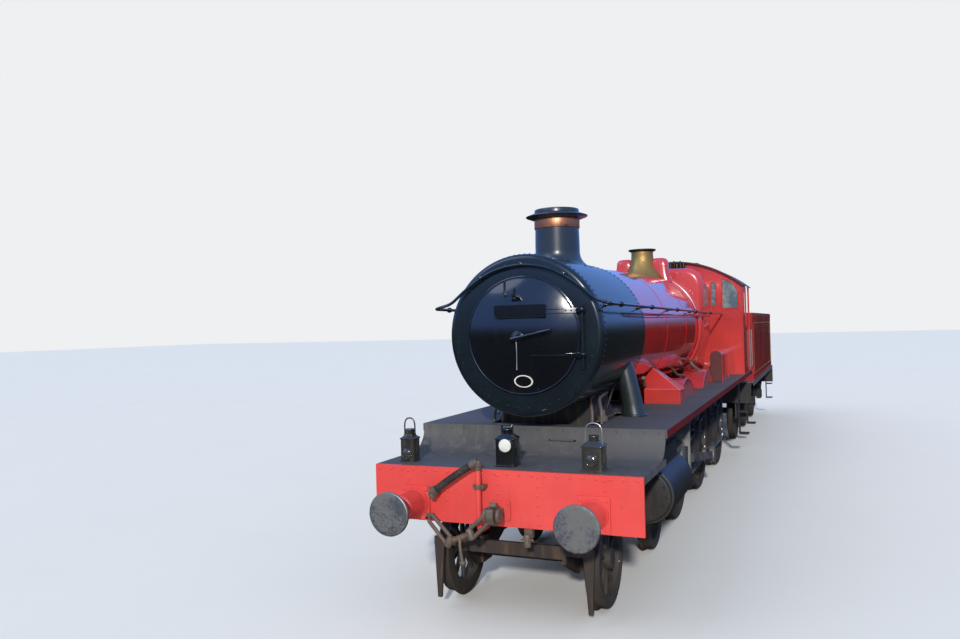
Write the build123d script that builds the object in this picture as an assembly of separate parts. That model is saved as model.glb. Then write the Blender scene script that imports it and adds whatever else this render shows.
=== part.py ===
"""Steam locomotive, 4-6-0, with its close-coupled six-wheeled tender, in millimetres.

X is across (plus is the engine's left), Y runs back from the front, Z is up from the flange tips.
Every piece is set out from two data: d, the distance back from the front face of the buffer beam,
and z, the height above the rail. write() shifts it to the model's origin, under the middle of the whole.
"""
from build123d import *
from math import asin, cos, degrees, pi, radians, sin, sqrt
import os

# Overall sizes
LENGTH_OVER_BEAMS = 18150
BUFFER_LENGTH = 540
FLANGE = 29

# Clearances
SEAT = 0.3
RUNNING_FIT = 0.05
PIN_FLOAT = 5

# Wheels
BACK_TO_BACK = 1362
TYRE_WIDTH = 140
TYRE_DEPTH = 70
BOGIE_RADIUS = 457
DRIVER_RADIUS = 914.5
TENDER_RADIUS = 628.5
CRANK_THROW = 381
BOGIE_AXLES = (762, 2896)
BOGIE_PIVOT_D = 1829
DRIVER_AXLES = {"leading": 4522, "main": 6656, "trailing": 9018}

# Engine frames
FRAME_INSIDE = 600
FRAME_PLATE = 32
FRAME_OUTSIDE = FRAME_INSIDE + FRAME_PLATE
FRAME_LOW = 640
FRAME_OVER_BOGIE = 1011
HORN_HALF = 140
HORN_TOP = 1095

# Buffer beam and running plate
BEAM_WIDTH = 2622
BEAM_THICK = 30
BEAM_TOP = 1396
BEAM_BOTTOM = 884
PLATE_T = 12
PLATE_WIDTH = 2652
PLATE_TOP = 1666
DROP_D = 1050
DROP_RADIUS = PLATE_TOP - BEAM_TOP
VALANCE_DEEP = 72

# Boiler
BOILER_Z = 2613
SMOKEBOX_RADIUS = 816
SMOKEBOX_FRONT = 710
SMOKEBOX_REAR = 2635
SMOKEBOX_WALL = 16
DRUMHEAD_RADIUS = 60
DOOR_RADIUS = 592
DOOR_OPENING = 560
DOOR_DISH = 100
DOOR_RIM = 20
BARREL_FRONT_RADIUS = 795
BARREL_REAR_RADIUS = 885
BONNET_D = 6485
BARREL_CONE_END = BONNET_D + 15
FIREBOX_FRONT = BONNET_D + 415
FIREBOX_BOTTOM = 1250

# Chimney and bonnet
CHIMNEY_D = 1890
CHIMNEY_TOP = 4012
CHIMNEY_BODY = 250
CHIMNEY_BORE = 200
CHIMNEY_LOW = 3290
FLARE_TOP = 3540
BAND_LOW = 3790
BAND_TOP = 3895
LIP_RADIUS = 349
LIP_LOW = BAND_TOP + 33
BONNET_TOP = 3920
BONNET_BORE = 150

# Cab
CAB_FRONT = 9340
SHEET = 8
CAB_HALF = 1314
CAB_REAR = CAB_FRONT + 1560
FRAME_END = CAB_REAR + 200
ROOF_RADIUS = 2035
ROOF_TOP = 3892
ROOF_T = 12
ROOF_HALF = 1345
FLOOR_T = 30

# Tender
TENDER_FRONT = CAB_REAR + 550
TENDER_LENGTH = LENGTH_OVER_BEAMS - TENDER_FRONT
TENDER_AXLE_SHARES = (1010 / 6700, 3296 / 6700, 5582 / 6700)
TENDER_AXLES = tuple(TENDER_FRONT + share * TENDER_LENGTH for share in TENDER_AXLE_SHARES)
TENDER_HALF = 1295
TENDER_FLOOR = 1367
TANK_TOP = 2780
TANK_FRONT = TENDER_FRONT + 300
TANK_REAR = LENGTH_OVER_BEAMS - 160
COAL_FLOOR = 2050
COAL_FRONT = TANK_FRONT + 120
COAL_REAR = TANK_REAR - 2490
DRAWBAR_PIVOT = CAB_REAR
DRAWBAR_Z = 1010

# Buffers
BUFFER_X = 870
BUFFER_Z = 1054
BUFFER_HEAD = 200

WHEEL_INSIDE = BACK_TO_BACK / 2
WHEEL_OUTSIDE = WHEEL_INSIDE + TYRE_WIDTH
FRONT_Y = -LENGTH_OVER_BEAMS / 2


def box(x0, x1, d0, d1, z0, z1):
    """A block between two corners."""
    middle = Pos((x0 + x1) / 2, (d0 + d1) / 2, (z0 + z1) / 2)
    return middle * Box(abs(x1 - x0), abs(d1 - d0), abs(z1 - z0))


def both(shape):
    """The same shape on both sides of the engine."""
    return [shape, mirror(shape, Plane.YZ)]


def joined(*shapes):
    """One solid, or one group of solids, from several shapes."""
    flat = []
    for shape in shapes:
        flat.extend(shape if isinstance(shape, list) else [shape])
    return flat[0].fuse(*flat[1:]) if len(flat) > 1 else flat[0]


def group(shapes):
    """One piece made of several solids."""
    return Compound([solid for shape in shapes for solid in shape.solids()])


def bar_x(x0, x1, d, z, radius):
    """A round bar along X."""
    return Pos((x0 + x1) / 2, d, z) * Rot(0, 90, 0) * Cylinder(radius, abs(x1 - x0))


def bar_y(d0, d1, x, z, radius):
    """A round bar along the engine."""
    return Pos(x, (d0 + d1) / 2, z) * Rot(90, 0, 0) * Cylinder(radius, abs(d1 - d0))


def bar_z(z0, z1, x, d, radius):
    """A round bar standing up."""
    return Pos(x, d, (z0 + z1) / 2) * Cylinder(radius, abs(z1 - z0))


def side_plate(x0, x1, outline):
    """A plate with an outline of (d, z) points, from x0 to x1."""
    face = Plane.YZ * make_face(Polyline(*outline, close=True))
    return Pos(x0, 0, 0) * extrude(face, amount=x1 - x0, dir=(1, 0, 0))


def cross_plate(d0, d1, outline):
    """A plate with an outline of (x, z) points, from d0 to d1."""
    face = Plane.XZ * make_face(Polyline(*outline, close=True))
    return Pos(0, d0, 0) * extrude(face, amount=d1 - d0, dir=(0, 1, 0))


def turned(profile):
    """A solid of revolution about X, from a closed outline of (along, radius) points."""
    return revolve(make_face(Polyline(*profile, close=True)), Axis.X, 360)


def turned_edges(*edges):
    """A solid of revolution about X, from the edges of a closed outline in (along, radius)."""
    return revolve(make_face(list(edges)), Axis.X, 360)


def along_y(shape):
    return Rot(0, 0, 90) * shape


def upright(shape):
    return Rot(0, -90, 0) * shape


def bent_bar(points, bend, radius):
    """A round bar along straight runs joined by arcs."""
    path = FilletPolyline(*points, radius=bend)
    return sweep(Plane(origin=path @ 0, z_dir=path % 0) * Circle(radius), path=path)


def barrel_radius(d):
    """The outside radius of the tapered barrel at d."""
    share = min(1, (d - SMOKEBOX_REAR) / (BARREL_CONE_END - SMOKEBOX_REAR))
    return BARREL_FRONT_RADIUS + share * (BARREL_REAR_RADIUS - BARREL_FRONT_RADIUS)


# Wheels

def wheel_disc(radius, spokes, hub, spoke_width, spoke_thick):
    """A spoked wheel with its flanged tyre, its axis on X and its back face at WHEEL_INSIDE."""
    rim_in = radius - TYRE_DEPTH - 40
    back, front = WHEEL_INSIDE, WHEEL_OUTSIDE
    tyre = turned([
        (back, rim_in), (front - 10, rim_in), (front - 4, radius - TYRE_DEPTH), (front, radius - TYRE_DEPTH),
        (front, radius - 8), (front - 8, radius - 2), (back + 34, radius), (back + 24, radius + FLANGE),
        (back + 8, radius + FLANGE), (back, radius + 14),
    ])
    boss = bar_x(back, front + 10, 0, 0, hub)
    middle = (back + front) / 2
    length = rim_in - hub + 20
    bars = []
    for number in range(spokes):
        spoke = Pos(middle, 0, (rim_in + hub) / 2) * Box(spoke_thick, spoke_width, length)
        bars.append(Rot(360 * (number + 0.5) / spokes, 0, 0) * spoke)
    return tyre.fuse(boss, *bars)


def wheelset(d, radius, wheels, axle_radius, axle_half):
    """Two wheels on one axle."""
    axle = bar_x(-axle_half, axle_half, 0, 0, axle_radius)
    return Pos(0, d, radius) * axle.fuse(*wheels)


ROD_IN = 865
ROD_OUT = 930
PIN_RADIUS = 45
PIN_COLLAR = 60
PIN_END = ROD_OUT + PIN_FLOAT + 10
MAIN_PIN_END = 990
CRANK_ANGLES = {"left": -90, "right": 180}
DRIVER_HUB = 180
DRIVER_AXLE = 108


def crank_point(side):
    """The crank pin's place from the axle, as (d, z)."""
    angle = radians(CRANK_ANGLES[side])
    return CRANK_THROW * cos(angle), CRANK_THROW * sin(angle)


def driving_wheel(side, main):
    """A driving wheel with its crank boss, balance weight and crank pin, on the plus side of X."""
    wheel = wheel_disc(DRIVER_RADIUS, 20, DRIVER_HUB, 52, 56)
    rim_in = DRIVER_RADIUS - TYRE_DEPTH - 40
    d, z = crank_point(side)
    boss = bar_x(WHEEL_INSIDE + 20, WHEEL_OUTSIDE + 10, d, z, 105)
    arm = Rot(CRANK_ANGLES[side], 0, 0) * box(WHEEL_INSIDE + 20, WHEEL_OUTSIDE + 10, 0, CRANK_THROW, -95, 95)
    chord = 560 if main else 640
    weight = bar_x(WHEEL_INSIDE + 25, WHEEL_OUTSIDE - 20, 0, 0, rim_in + 20)
    below = box(600, 900, -DRIVER_RADIUS, -chord, -DRIVER_RADIUS, DRIVER_RADIUS)
    keep = Rot(CRANK_ANGLES[side], 0, 0) * below
    pin_end = MAIN_PIN_END if main else PIN_END
    pin = bar_x(WHEEL_OUTSIDE, pin_end, d, z, PIN_RADIUS)
    collar = bar_x(ROD_OUT + PIN_FLOAT, PIN_END, d, z, PIN_COLLAR)
    shoulder = bar_x(WHEEL_OUTSIDE, ROD_IN - PIN_FLOAT, d, z, PIN_COLLAR)
    return wheel.fuse(boss, arm, weight & keep, pin, collar, shoulder)


def driving_wheelset(name):
    main = name == "main"
    left = driving_wheel("left", main)
    right = mirror(driving_wheel("right", main), Plane.YZ)
    return wheelset(DRIVER_AXLES[name], DRIVER_RADIUS, [left, right], DRIVER_AXLE, WHEEL_OUTSIDE)


def plain_wheelset(d, radius, spokes, hub, width, thick, axle_radius, axle_half):
    wheel = wheel_disc(radius, spokes, hub, width, thick)
    return wheelset(d, radius, both(wheel), axle_radius, axle_half)


def coupling_rod(side):
    """One side's coupling rod, over the three crank pins."""
    step_d, step_z = crank_point(side)
    z = DRIVER_RADIUS + step_z
    places = [d + step_d for d in DRIVER_AXLES.values()]
    bosses = [bar_x(ROD_IN, ROD_OUT, d, z, 120 if i == 1 else 98) for i, d in enumerate(places)]
    webs = [box(ROD_IN + 12, ROD_OUT - 12, a + 60, b - 60, z - 55, z + 55)
            for a, b in zip(places, places[1:])]
    rod = bosses[0].fuse(*bosses[1:], *webs)
    for d in places:
        rod = rod - bar_x(ROD_IN - 1, ROD_OUT + 1, d, z, PIN_RADIUS + RUNNING_FIT)
    return rod if side == "left" else mirror(rod, Plane.YZ)


# Frames

STRETCHERS = (
    (3470, 3510, 1150, 1600),
    (5560, 5600, 760, 1500),
    (7000, 7040, 700, 1240),
    (10300, 10340, 900, 1560),
)


def main_frames():
    """Two deep frame plates with cut horns, tied by cross stretchers and the drag box."""
    rise = DROP_D + 50
    outline = [
        (BEAM_THICK, 900), (300, 900), (400, FRAME_OVER_BOGIE), (3430, FRAME_OVER_BOGIE), (3640, FRAME_LOW),
        (9560, FRAME_LOW), (9800, 860), (FRAME_END, 860), (FRAME_END, PLATE_TOP - PLATE_T),
        (rise, PLATE_TOP - PLATE_T), (rise, BEAM_TOP - PLATE_T), (BEAM_THICK, BEAM_TOP - PLATE_T),
    ]
    plate = side_plate(FRAME_INSIDE, FRAME_OUTSIDE, outline)
    for d in DRIVER_AXLES.values():
        plate = plate - box(FRAME_INSIDE - 1, FRAME_OUTSIDE + 1, d - HORN_HALF, d + HORN_HALF, 0, HORN_TOP)
    ties = [box(-FRAME_INSIDE, FRAME_INSIDE, *row) for row in STRETCHERS]
    drag_box = box(-FRAME_INSIDE, FRAME_INSIDE, DRAWBAR_PIVOT - 250, FRAME_END, DRAWBAR_Z + 46, 1500)
    pin = bar_z(DRAWBAR_Z - 30, DRAWBAR_Z + 60, 0, DRAWBAR_PIVOT, 35)
    head = bar_z(DRAWBAR_Z - 30, DRAWBAR_Z - PIN_FLOAT, 0, DRAWBAR_PIVOT, 52)
    nose = box(-FRAME_INSIDE, FRAME_INSIDE, BEAM_THICK + 20, BEAM_THICK + 60, 900, BEAM_TOP - PLATE_T)
    return joined(both(plate), ties, drag_box, pin, head, nose)


def driving_axleboxes():
    """Axleboxes in the horns, each with its hornstay."""
    blocks = []
    for d in DRIVER_AXLES.values():
        block = box(545, 672, d - HORN_HALF, d + HORN_HALF, DRIVER_RADIUS - 150, HORN_TOP)
        block = block - bar_x(540, 680, d, DRIVER_RADIUS, DRIVER_AXLE + RUNNING_FIT)
        stay = box(FRAME_INSIDE, FRAME_OUTSIDE, d - HORN_HALF, d + HORN_HALF, FRAME_LOW, FRAME_LOW + 50)
        blocks += both(block) + both(stay)
    return group(blocks)


def front_beam():
    beam = box(-BEAM_WIDTH / 2, BEAM_WIDTH / 2, 0, BEAM_THICK, BEAM_BOTTOM, BEAM_TOP)
    return beam


SADDLE_D = (1250, 2460)


def running_plate():
    """Lower platform, the concave drop behind it, the upper plate and its edge valance."""
    low_half, half = BEAM_WIDTH / 2, PLATE_WIDTH / 2
    curve_start = DROP_D - DROP_RADIUS
    platform = box(-low_half, low_half, BEAM_THICK, curve_start, BEAM_TOP - PLATE_T, BEAM_TOP)
    ring = Cylinder(DROP_RADIUS + PLATE_T, 2 * low_half) - Cylinder(DROP_RADIUS, 2 * low_half)
    ring = Pos(0, curve_start, PLATE_TOP) * Rot(0, 90, 0) * ring
    drop = ring & box(-low_half, low_half, curve_start, DROP_D + PLATE_T, BEAM_TOP - PLATE_T, PLATE_TOP)
    top = box(-half, half, DROP_D, 3300, PLATE_TOP - PLATE_T, PLATE_TOP)
    strip = box(FRAME_INSIDE, half, 3300, CAB_REAR, PLATE_TOP - PLATE_T, PLATE_TOP)
    for d in DRIVER_AXLES.values():
        strip = strip - box(655, 870, d - 620, d + 620, PLATE_TOP - 50, PLATE_TOP + 50)
    under = PLATE_TOP - PLATE_T
    valance = box(half - PLATE_T, half, DROP_D, CAB_REAR, under - VALANCE_DEEP, under)
    edge = box(low_half - PLATE_T, low_half, BEAM_THICK, DROP_D, BEAM_TOP - PLATE_T - 60, BEAM_TOP - PLATE_T)
    plate = joined(platform, drop, top, both(strip), both(valance), both(edge))
    return plate - box(-FRAME_INSIDE, FRAME_INSIDE, *SADDLE_D, PLATE_TOP - 50, PLATE_TOP + 50)


SPLASHER_RADIUS = 1010
SPLASHER_IN = 640
SPLASHER_OUT = 980
SPLASHER_T = 6
TUNNEL_X = (945, 1135)
TUNNEL_FRONT = 7300
TUNNEL_TOP = 2200


def fire_iron_tunnel():
    """The long round-topped casing for the fire irons, on the left from the firebox's side to the cab."""
    x0, x1 = TUNNEL_X
    half = (x1 - x0) / 2
    body = box(x0, x1, TUNNEL_FRONT, CAB_FRONT - SEAT, PLATE_TOP, TUNNEL_TOP - half)
    crown = bar_y(TUNNEL_FRONT, CAB_FRONT - SEAT, (x0 + x1) / 2, TUNNEL_TOP - half, half)
    rear = bar_x(SPLASHER_IN, SPLASHER_OUT - SPLASHER_T, DRIVER_AXLES["trailing"], DRIVER_RADIUS,
                 SPLASHER_RADIUS - SPLASHER_T)
    return body.fuse(crown) - rear


def splashers():
    """Curved covers over the driving wheels where they come up through the plate, and the tunnel."""
    covers = []
    for d in DRIVER_AXLES.values():
        outer = bar_x(SPLASHER_IN, SPLASHER_OUT, d, DRIVER_RADIUS, SPLASHER_RADIUS)
        inner = bar_x(SPLASHER_IN + SPLASHER_T, SPLASHER_OUT - SPLASHER_T, d, DRIVER_RADIUS,
                      SPLASHER_RADIUS - SPLASHER_T)
        cover = (outer - inner) & box(600, 1200, d - 1100, d + 1100, PLATE_TOP, 3000)
        covers += both(cover)
    last_left = covers[-2]
    return group(covers[:-2] + [last_left.fuse(fire_iron_tunnel()), covers[-1]])


COVER_FRONT = 3540
COVER_X = (590, 1050)


def motion_cover():
    """The casings ahead of the leading splashers, which slope up from the front and from the side."""
    x0, x1 = COVER_X
    foot = sqrt(SPLASHER_RADIUS ** 2 - (PLATE_TOP - DRIVER_RADIUS) ** 2)
    rear = DRIVER_AXLES["leading"] - foot
    outline = [(COVER_FRONT, PLATE_TOP), (COVER_FRONT, 1850), (COVER_FRONT + 290, 2160),
               (COVER_FRONT + 420, 2160), (rear, PLATE_TOP)]
    section = [(x0, PLATE_TOP), (x1, PLATE_TOP), (x1, 1840), (x0, 2155)]
    side_slope = cross_plate(COVER_FRONT, rear + 500, section)
    casing = side_plate(x0, x1, outline) & side_slope
    splash = bar_x(x0 - 50, x1 + 50, DRIVER_AXLES["leading"], DRIVER_RADIUS, SPLASHER_RADIUS + SEAT)
    barrel = bar_y(COVER_FRONT - 50, rear + 550, 0, BOILER_Z, barrel_radius(rear + 500) + SEAT)
    return group(both(casing - splash - barrel))


# Cylinders and motion

CYL_X = 1054
CYL_Z = 978
CYL_RADIUS = 290
CYL_D = (1250, 2410)
COVER_T = 45
VALVE_X = 1010
VALVE_Z = 1420
VALVE_RADIUS = 150
SLIDE_END = 3990
ROD_LENGTH = 3264
BIG_END_IN = MAIN_PIN_END + PIN_FLOAT
PISTON_ROD = 45
GUIDE_HALF = 165


def cylinder_saddle():
    """The casting between the frames that carries the smokebox, with the bogie's pivot pin."""
    body = box(-FRAME_INSIDE, FRAME_INSIDE, 1330, 2330, 1130, 1640)
    crown = cross_plate(1400, 2260, [(-520, 1640), (-400, 2000), (400, 2000), (520, 1640)])
    crown = crown - bar_y(1300, 2400, 0, BOILER_Z, SMOKEBOX_RADIUS + SEAT)
    pin = bar_z(640, 1130, 0, BOGIE_PIVOT_D, 90)
    return joined(body, crown, pin)


def cylinders():
    """Outside cylinders with their end covers, valve chests and the flange on the frames."""
    rear = CYL_D[1] + COVER_T
    block = joined(
        bar_y(*CYL_D, CYL_X, CYL_Z, CYL_RADIUS),
        bar_y(CYL_D[0] - COVER_T, CYL_D[0], CYL_X, CYL_Z, CYL_RADIUS - 25),
        bar_y(CYL_D[1], rear, CYL_X, CYL_Z, CYL_RADIUS - 25),
        bar_y(CYL_D[0] - 60, CYL_D[1] + 60, VALVE_X, VALVE_Z, VALVE_RADIUS),
        box(FRAME_OUTSIDE, CYL_X, CYL_D[0] + 130, CYL_D[1] - 130, 1040, 1560),
        box(CYL_X - 100, CYL_X + 150, CYL_D[0] + 130, CYL_D[1] - 130, CYL_Z + 200, VALVE_Z),
    )
    block = block - bar_y(rear - 60, rear + 1, CYL_X, CYL_Z, PISTON_ROD + RUNNING_FIT)
    return group(both(block))


def slidebars():
    """Slide bars from the rear cover, carried by the motion plate ahead of the leading wheels."""
    rear = CYL_D[1] + COVER_T
    pieces = []
    for low in (CYL_Z + GUIDE_HALF, CYL_Z - GUIDE_HALF - 60):
        pieces.append(box(CYL_X - 45, CYL_X + 45, rear, SLIDE_END, low, low + 60))
    bracket = box(FRAME_OUTSIDE, CYL_X + 110, 3470, 3510, CYL_Z - 270, 1600)
    bracket = bracket - box(CYL_X - 110, CYL_X + 80, 3460, 3520, CYL_Z - GUIDE_HALF, CYL_Z + GUIDE_HALF)
    return group(both(joined(*pieces, bracket)))


def connecting_rods():
    """Each side's crosshead with piston rod, and the connecting rod out to the main crank pin."""
    rods = []
    for side in ("left", "right"):
        step_d, step_z = crank_point(side)
        pin_d, pin_z = DRIVER_AXLES["main"] + step_d, DRIVER_RADIUS + step_z
        reach = sqrt(ROD_LENGTH ** 2 - (CYL_Z - pin_z) ** 2)
        head_d = pin_d - reach
        tilt = degrees(asin((pin_z - CYL_Z) / ROD_LENGTH))
        shoe = box(CYL_X - 45, CYL_X + 45, head_d - 150, head_d + 150, CYL_Z - GUIDE_HALF, CYL_Z + GUIDE_HALF)
        piston = bar_y(CYL_D[1] + COVER_T - 60, head_d, CYL_X, CYL_Z, PISTON_ROD)
        web = box(BIG_END_IN + 12, BIG_END_IN + 53, 80, ROD_LENGTH - 60, -58, 58)
        big = bar_x(BIG_END_IN, BIG_END_IN + 65, ROD_LENGTH, 0, 150)
        rod = Pos(0, head_d, CYL_Z) * Rot(tilt, 0, 0) * joined(web, big)
        one = joined(shoe, piston, rod)
        rods.append(one if side == "left" else mirror(one, Plane.YZ))
    return group(rods)


# Smokebox and its fittings

def smokebox():
    """The drum behind its front ring, with a closed rear wall and the chimney's hole."""
    front, rear = SMOKEBOX_FRONT + DRUMHEAD_RADIUS, SMOKEBOX_REAR
    outer, inner = SMOKEBOX_RADIUS, SMOKEBOX_RADIUS - SMOKEBOX_WALL
    section = [(front, inner), (front, outer), (rear, outer), (rear, 0), (rear - 20, 0), (rear - 20, inner)]
    drum = along_y(turned(section))
    drum = Pos(0, 0, BOILER_Z) * drum
    return drum - bar_z(BOILER_Z, BOILER_Z + 1000, 0, CHIMNEY_D, CHIMNEY_BORE)


def smokebox_ring():
    """The flat front ring round the door's opening, rounded back into the drum."""
    front, bend, outer = SMOKEBOX_FRONT, DRUMHEAD_RADIUS, SMOKEBOX_RADIUS
    mid = bend * (1 - sqrt(0.5))
    inner = outer - SMOKEBOX_WALL
    ring = along_y(turned_edges(
        Line((front, DOOR_OPENING), (front, outer - bend)),
        ThreePointArc((front, outer - bend), (front + mid, outer - mid), (front + bend, outer)),
        Polyline((front + bend, outer), (front + bend, inner), (front + 25, inner), (front + 25, DOOR_OPENING),
                 (front, DOOR_OPENING)),
    ))
    return Pos(0, 0, BOILER_Z) * ring


def blastpipe():
    """The tapered exhaust pipe standing on the smokebox floor, and its nozzle."""
    pipe = upright(turned([(1780, 0), (1780, 170), (2350, 110), (2350, 130), (2400, 130), (2400, 0)]))
    pipe = Pos(0, CHIMNEY_D, 0) * pipe
    return pipe & bar_y(SMOKEBOX_FRONT, SMOKEBOX_REAR, 0, BOILER_Z, SMOKEBOX_RADIUS - SMOKEBOX_WALL - SEAT)


def chimney_foot():
    """The chimney's flared foot on the smokebox."""
    body, bore = CHIMNEY_BODY, CHIMNEY_BORE
    cast = turned_edges(
        Line((CHIMNEY_LOW, bore), (CHIMNEY_LOW, 400)),
        Line((CHIMNEY_LOW, 400), (CHIMNEY_LOW + 50, 392)),
        ThreePointArc((CHIMNEY_LOW + 50, 392), (CHIMNEY_LOW + 130, 300), (FLARE_TOP, body)),
        Polyline((FLARE_TOP, body), (FLARE_TOP, bore), (CHIMNEY_LOW, bore)),
    )
    cast = Pos(0, CHIMNEY_D, 0) * upright(cast)
    return cast - bar_y(1000, SMOKEBOX_REAR, 0, BOILER_Z, SMOKEBOX_RADIUS + SEAT)


def chimney():
    """The chimney's tall body with its lipped cap."""
    body, bore, top = CHIMNEY_BODY, CHIMNEY_BORE, CHIMNEY_TOP
    cast = turned_edges(
        Line((FLARE_TOP, bore), (FLARE_TOP, body)),
        Line((FLARE_TOP, body), (BAND_LOW, body - 4)),
        Polyline((BAND_LOW, body - 4), (BAND_TOP, body - 4), (BAND_TOP, body + 12), (LIP_LOW, LIP_RADIUS),
                 (LIP_LOW + 8, LIP_RADIUS), (LIP_LOW + 40, body + 12), (LIP_LOW + 40, body), (top - 8, body),
                 (top, body - 8), (top, bore), (FLARE_TOP, bore)),
    )
    return Pos(0, CHIMNEY_D, 0) * upright(cast)


def chimney_band():
    inner, outer = CHIMNEY_BODY - 4 + SEAT, CHIMNEY_BODY + 5
    low, top = BAND_LOW + 5, BAND_TOP - SEAT
    band = upright(turned([(low, inner), (low, outer), (top, outer), (top, inner)]))
    return Pos(0, CHIMNEY_D, 0) * band


HINGE_X = 617
HINGE_D = 672
HINGE_PIN = 14
HINGE_Z = (BOILER_Z - 333, BOILER_Z + 267)
STRAP_Z = (BOILER_Z - 203, BOILER_Z + 232)
STRAP_HALF = 22


def door_sphere(extra):
    """The ball whose cap is the door's dished face, made larger by extra."""
    ball = (DOOR_RADIUS ** 2 + DOOR_DISH ** 2) / (2 * DOOR_DISH)
    apex = SMOKEBOX_FRONT - DOOR_RIM - DOOR_DISH
    return Pos(0, apex + ball, BOILER_Z) * Sphere(ball + extra)


def smokebox_door():
    """A dished round door with a flat rim."""
    front = SMOKEBOX_FRONT - DOOR_RIM
    disc = bar_y(front - DOOR_DISH - 50, front, 0, BOILER_Z, DOOR_RADIUS)
    rim = bar_y(front, SMOKEBOX_FRONT - 0.5, 0, BOILER_Z, DOOR_RADIUS)
    return (disc & door_sphere(0)).fuse(rim)


def door_furniture():
    """Strap hinges, the locking boss with two handles, and the lamp bracket."""
    front = SMOKEBOX_FRONT - DOOR_RIM
    apex = front - DOOR_DISH
    pieces = []
    for z in STRAP_Z:
        skin = box(290, 575, apex - 60, front + 30, z - STRAP_HALF, z + STRAP_HALF)
        strap = (skin & door_sphere(16)) - door_sphere(SEAT)
        eye = bar_z(z - STRAP_HALF, z + STRAP_HALF, HINGE_X, HINGE_D, HINGE_PIN + 14)
        arm = box(560, HINGE_X, HINGE_D - 20, HINGE_D - 6, z - STRAP_HALF, z + STRAP_HALF)
        eye = joined(eye, arm) - bar_z(z - 50, z + 50, HINGE_X, HINGE_D, HINGE_PIN + RUNNING_FIT)
        pieces.append(joined(strap, eye - door_sphere(SEAT)))
    hub_x, hub_z = -20, BOILER_Z - 25
    boss = bar_y(apex - 70, apex + 30, hub_x, hub_z, 34) - door_sphere(SEAT)
    arm = Box(366, 24, 40, align=(Align.MIN, Align.CENTER, Align.CENTER))
    upper = Pos(hub_x, apex - 60, hub_z) * Rot(0, -12, 0) * arm
    lower = box(hub_x - 9, hub_x + 9, apex - 50, apex - 36, hub_z - 310, hub_z)
    iron_z = BOILER_Z + 352
    foot = box(22, 62, apex - 62, apex + 60, iron_z, iron_z + 25) - door_sphere(SEAT)
    bar = box(-64, 62, apex - 62, apex - 48, iron_z, iron_z + 25)
    blade = box(-64, -56, apex - 80, apex - 30, iron_z, iron_z + 165)
    pieces += [joined(boss, upper, lower), joined(foot, bar, blade)]
    return group(pieces)


def door_plates():
    """The blank number plate and the blank oval plate on the door."""
    apex = SMOKEBOX_FRONT - DOOR_RIM - DOOR_DISH
    number = box(-256, 272, apex - 18, apex + 60, BOILER_Z + 172, BOILER_Z + 302) - door_sphere(SEAT)
    oval = extrude(Plane.XZ * Ellipse(95, 60), amount=60, both=True)
    oval = Pos(12, apex + 30, BOILER_Z - 453) * oval
    oval = (oval & door_sphere(10)) - door_sphere(SEAT)
    return group([number, oval])


def door_hinge():
    """The hinge post on the front ring, with its lugs."""
    post = bar_z(*HINGE_Z, HINGE_X, HINGE_D, HINGE_PIN)
    lugs = [box(HINGE_X - 16, HINGE_X + 16, HINGE_D, SMOKEBOX_FRONT, z, z + 24)
            for z in (HINGE_Z[0] + 10, HINGE_Z[0] + 320, HINGE_Z[0] + 480, HINGE_Z[1] - 4)]
    return joined(post, lugs)


def steam_pipes():
    """The outside steam pipes down from the smokebox to the cylinders."""
    section = [(PLATE_TOP, 0), (PLATE_TOP, 118), (PLATE_TOP + 40, 104), (2440, 84), (2490, 40), (2490, 0)]
    pipe = upright(turned(section))
    pipe = Pos(775, 2180, 0) * pipe
    return group(both(pipe - bar_y(1000, SMOKEBOX_REAR, 0, BOILER_Z, SMOKEBOX_RADIUS + SEAT)))


# Boiler and firebox

def boiler_barrel():
    barrel = along_y(turned([
        (SMOKEBOX_REAR, 0), (SMOKEBOX_REAR, BARREL_FRONT_RADIUS), (BARREL_CONE_END, BARREL_REAR_RADIUS),
        (FIREBOX_FRONT, BARREL_REAR_RADIUS), (FIREBOX_FRONT, 0),
    ]))
    return Pos(0, 0, BOILER_Z) * barrel


# Firebox sections, front to back: d, top, half width, shoulder radius
FIREBOX_SECTIONS = (
    (FIREBOX_FRONT, 3560, 850, 240),
    (FIREBOX_FRONT + 70, 3610, 893, 260),
    (CAB_FRONT, 3490, 700, 230),
)
WAIST_Z = 2450
GRATE_HALF = 560


def firebox_wire(d, top, half, shoulder):
    """A square-shouldered section that draws in below the waist to pass between the frames."""
    corner = (half - shoulder * (1 - sqrt(0.5)), top - shoulder * (1 - sqrt(0.5)))
    right = [
        Line((0, top), (half - shoulder, top)),
        ThreePointArc((half - shoulder, top), corner, (half, top - shoulder)),
        Line((half, top - shoulder), (half, WAIST_Z)),
        Line((half, WAIST_Z), (GRATE_HALF, 1960)),
        Line((GRATE_HALF, 1960), (GRATE_HALF, FIREBOX_BOTTOM)),
        Line((GRATE_HALF, FIREBOX_BOTTOM), (0, FIREBOX_BOTTOM)),
    ]
    half_face = make_face(right + [Line((0, FIREBOX_BOTTOM), (0, top))])
    whole = half_face + mirror(half_face, Plane.YZ)
    return Pos(0, d, 0) * (Plane.XZ * whole)


def firebox_half(d):
    """The firebox's half width at d, behind its rounded nose."""
    (d0, _, half0, _), (d1, _, half1, _) = FIREBOX_SECTIONS[1:]
    return half0 + (half1 - half0) * (d - d0) / (d1 - d0)


def firebox_top(d):
    """The height of the firebox's sloping top at d."""
    (d0, top0, _, _), (d1, top1, _, _) = FIREBOX_SECTIONS[1:]
    return top0 + (top1 - top0) * (d - d0) / (d1 - d0)


def firebox():
    nose = loft([firebox_wire(*row) for row in FIREBOX_SECTIONS[:2]], ruled=True)
    body = loft([firebox_wire(*row) for row in FIREBOX_SECTIONS[1:]], ruled=True)
    return nose.fuse(body)


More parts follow.
